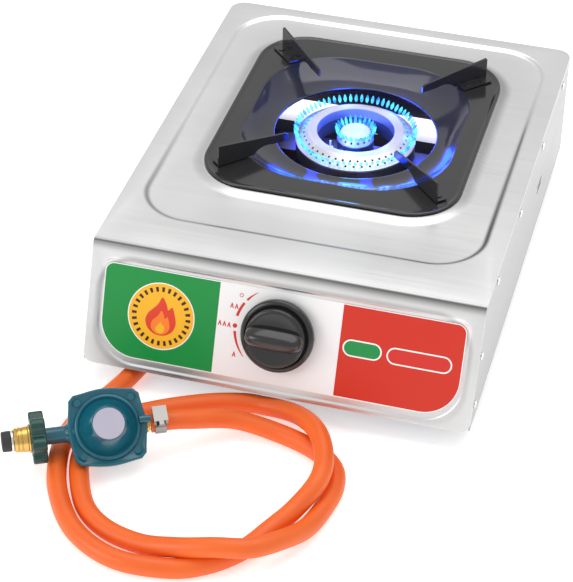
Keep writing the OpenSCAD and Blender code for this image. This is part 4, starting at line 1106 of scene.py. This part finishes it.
def dressed(name, paint):
    obj = linked(bpy.data.objects.new(name + "_piece", nodes[name].data.copy()))
    bm = bmesh.new()
    bm.from_mesh(obj.data)
    bmesh.ops.remove_doubles(bm, verts=bm.verts, dist=2e-6)
    bmesh.ops.dissolve_limit(bm, angle_limit=math.radians(1), verts=bm.verts, edges=bm.edges)
    bm.to_mesh(obj.data)
    bm.free()
    obj.data.materials.clear()
    obj.data.materials.append(paint)
    shade(obj, 30)
    bevel(obj, EDGE.get(slot_of[name], 0.25))
    stands_for(obj, name)


HAND_BUILT = {"hose", "top_shell", "spill_tray", "knob", "regulator_body", "regulator_cover", "regulator_cap",
              "handwheel", "cylinder_nut", "nose_seal"}
# The panels, the rail and the clamps get darker copies of their metal as painted shade.
PAINTED = {
    "regulator_screws": TEAL, "burner_rail": SHADED_RAIL, "clamp_outlet": SHADED_CLAMP, "clamp_screw_outlet": SHADED_CLAMP,
    "clamp_inlet": SHADED_CLAMP, "clamp_screw_inlet": SHADED_CLAMP, "side_panel_left": SHADED_PANEL_STEEL, "side_panel_right": SHADED_PANEL_STEEL,
    "back_panel": SHADED_PANEL_STEEL}
for name in sorted(set(nodes) - HAND_BUILT):
    dressed(name, PAINTED.get(name, SLOT_FINISH[slot_of[name]]))

# %% [markdown]
# The hose rides on its body, and the frame's hose is hidden. The regulator and its coupling hang on its
# far end.

stands_for(hose, "hose")

# %% [markdown]
# The floor is a plain pale sheet, and the light is a soft box overhead, one at the front left and a
# bright surround, as in a small studio for product pictures. A dark card lies under the body as painted
# shade, so that the bright floor doesn't show inside it.

# %% Floor and lights
def staged_plane(name, x0, x1, y0, y1, z, paint):
    new_object(name, [(x0, y0, z), (x1, y0, z), (x1, y1, z), (x0, y1, z)], [(0, 1, 2, 3)], paint)


def light(name, kind, at, power, color=(1, 1, 1)):
    data = bpy.data.lights.new(name, kind)
    data.energy = power
    data.color = color
    obj = linked(bpy.data.objects.new(name, data))
    obj.location = at
    return obj


def soft_box(name, at, aim, size, power):
    obj = light(name, "AREA", at, power)
    obj.data.shape = "RECTANGLE"
    obj.data.size, obj.data.size_y = size
    obj.rotation_euler = (Vector(aim) - Vector(at)).to_track_quat("-Z", "Y").to_euler()


SHADE_CARD_PAINT = material("painted_shade_card", {"Base Color": (0.012, 0.012, 0.02, 1), "Roughness": 0.8})
FLOOR_PAINT = material("pale_floor", {"Base Color": (0.93, 0.93, 0.93, 1), "Roughness": 0.9,
                                      "Emission Color": (1, 1, 1, 1), "Emission Strength": 0.45})
# Painted shade: a dark card on the floor under the body.
staged_plane("painted_shade_card", -0.13, 0.13, -0.15, 0.185, 0.0005, SHADE_CARD_PAINT)
staged_plane("floor", -4, 4, -4, 4, 0, FLOOR_PAINT)
soft_box("overhead", (0.1, 0.3, 1.6), (0, 0, 0.1), (1.6, 1.4), 12)
soft_box("left_front", (-1.3, -1.3, 1.0), (0, -0.1, 0.05), (1.0, 1.0), 10)
world = bpy.data.worlds.new("studio")
bpy.context.scene.world = world
world.use_nodes = True
world.node_tree.nodes["Background"].inputs["Color"].default_value = (1, 1, 1, 1)
world.node_tree.nodes["Background"].inputs["Strength"].default_value = 0.72
bpy.context.scene.view_settings.view_transform = "Standard"
print("lights", len(bpy.data.lights))

# %% [markdown]
# The burner is lit. Flames are short half-clear teardrops around both caps, in two blues that a noise mixes,
# and small blue lamps give their glow on the enamel. Flames and lamps belong to the stage, so they stay
# where they are when a cap is lifted.

# %% Flames
def flame_finish():
    mat = material("gas_flame", {
        "Base Color": (0, 0, 0, 1), "Specular IOR Level": 0, "Emission Strength": 2.2, "Alpha": 0.65})
    tree = mat.node_tree
    ramp = tree.nodes.new("ShaderNodeValToRGB")
    for stop, position, color in zip(ramp.color_ramp.elements, (0.35, 0.65),
                                     ((0.02, 0.16, 1.0, 1), (0.10, 0.75, 1.0, 1))):
        stop.color = color
        stop.position = position
    feed(tree, ramp.inputs[0], noise(tree, object_point(tree), 180))
    feed(tree, tree.nodes["Principled BSDF"].inputs["Emission Color"], ramp.outputs[0])
    return mat


FLAME_MAT = flame_finish()
FLAME_SIDES, FLAME_ROWS = 8, 6
PORT_Z = 0.0938


def flame_ring(name, count, radius, length, width, lean):
    verts, faces = [], []
    for k in range(count):
        a = 2 * math.pi * k / count
        out = Vector((math.cos(a), math.sin(a), 0))
        way = (out * math.sin(lean) + Vector((0, 0, 1)) * math.cos(lean)).normalized()
        side = Vector((0, 0, 1)).cross(out)
        other = way.cross(side)
        root = Vector((BURNER[0], BURNER[1], PORT_Z)) + out * radius
        base = len(verts)
        for i in range(FLAME_ROWS + 1):
            t = i / FLAME_ROWS
            r = width * math.sin(math.pi * min(0.98, 0.12 + 0.88 * t)) ** 0.8
            verts += [root + way * (length * t) + side * x + other * y for x, y in circle(r, FLAME_SIDES)]
        for i in range(FLAME_ROWS):
            for j in range(FLAME_SIDES):
                p, q = base + i * FLAME_SIDES + j, base + i * FLAME_SIDES + (j + 1) % FLAME_SIDES
                faces.append((p, q, q + FLAME_SIDES, p + FLAME_SIDES))
    obj = new_object(name, verts, faces, FLAME_MAT)
    shade(obj, 80)


flame_ring("ring_flames", 66, 0.0452, 0.0062, 0.0013, math.radians(34))
flame_ring("centre_flames", 24, 0.0132, 0.0072, 0.0012, math.radians(24))
print("flames lit at", PORT_Z)

# %% Glow
BLUE, CYAN = (0.01, 0.05, 1.0), (0.05, 0.45, 1.0)


def lamp(name, away, turn, z, power, color, radius):
    at = (away * math.cos(turn), BURNER[1] + away * math.sin(turn), z)
    light(name, "POINT", at, power, color).data.shadow_soft_size = radius


for k in range(8):
    a = 2 * math.pi * (k + 0.5) / 8
    lamp(f"glow_{k}", 0.054, a, 0.099, 0.012 + 0.080 * max(0.0, math.sin(a)), BLUE, 0.006)
for k in range(4):
    lamp(f"inner_glow_{k}", 0.022, 2 * math.pi * k / 4, 0.100, 0.05, BLUE, 0.004)
lamp("centre_glow", 0, 0, 0.112, 0.03, CYAN, 0.01)
print("lights with glow", len(bpy.data.lights))
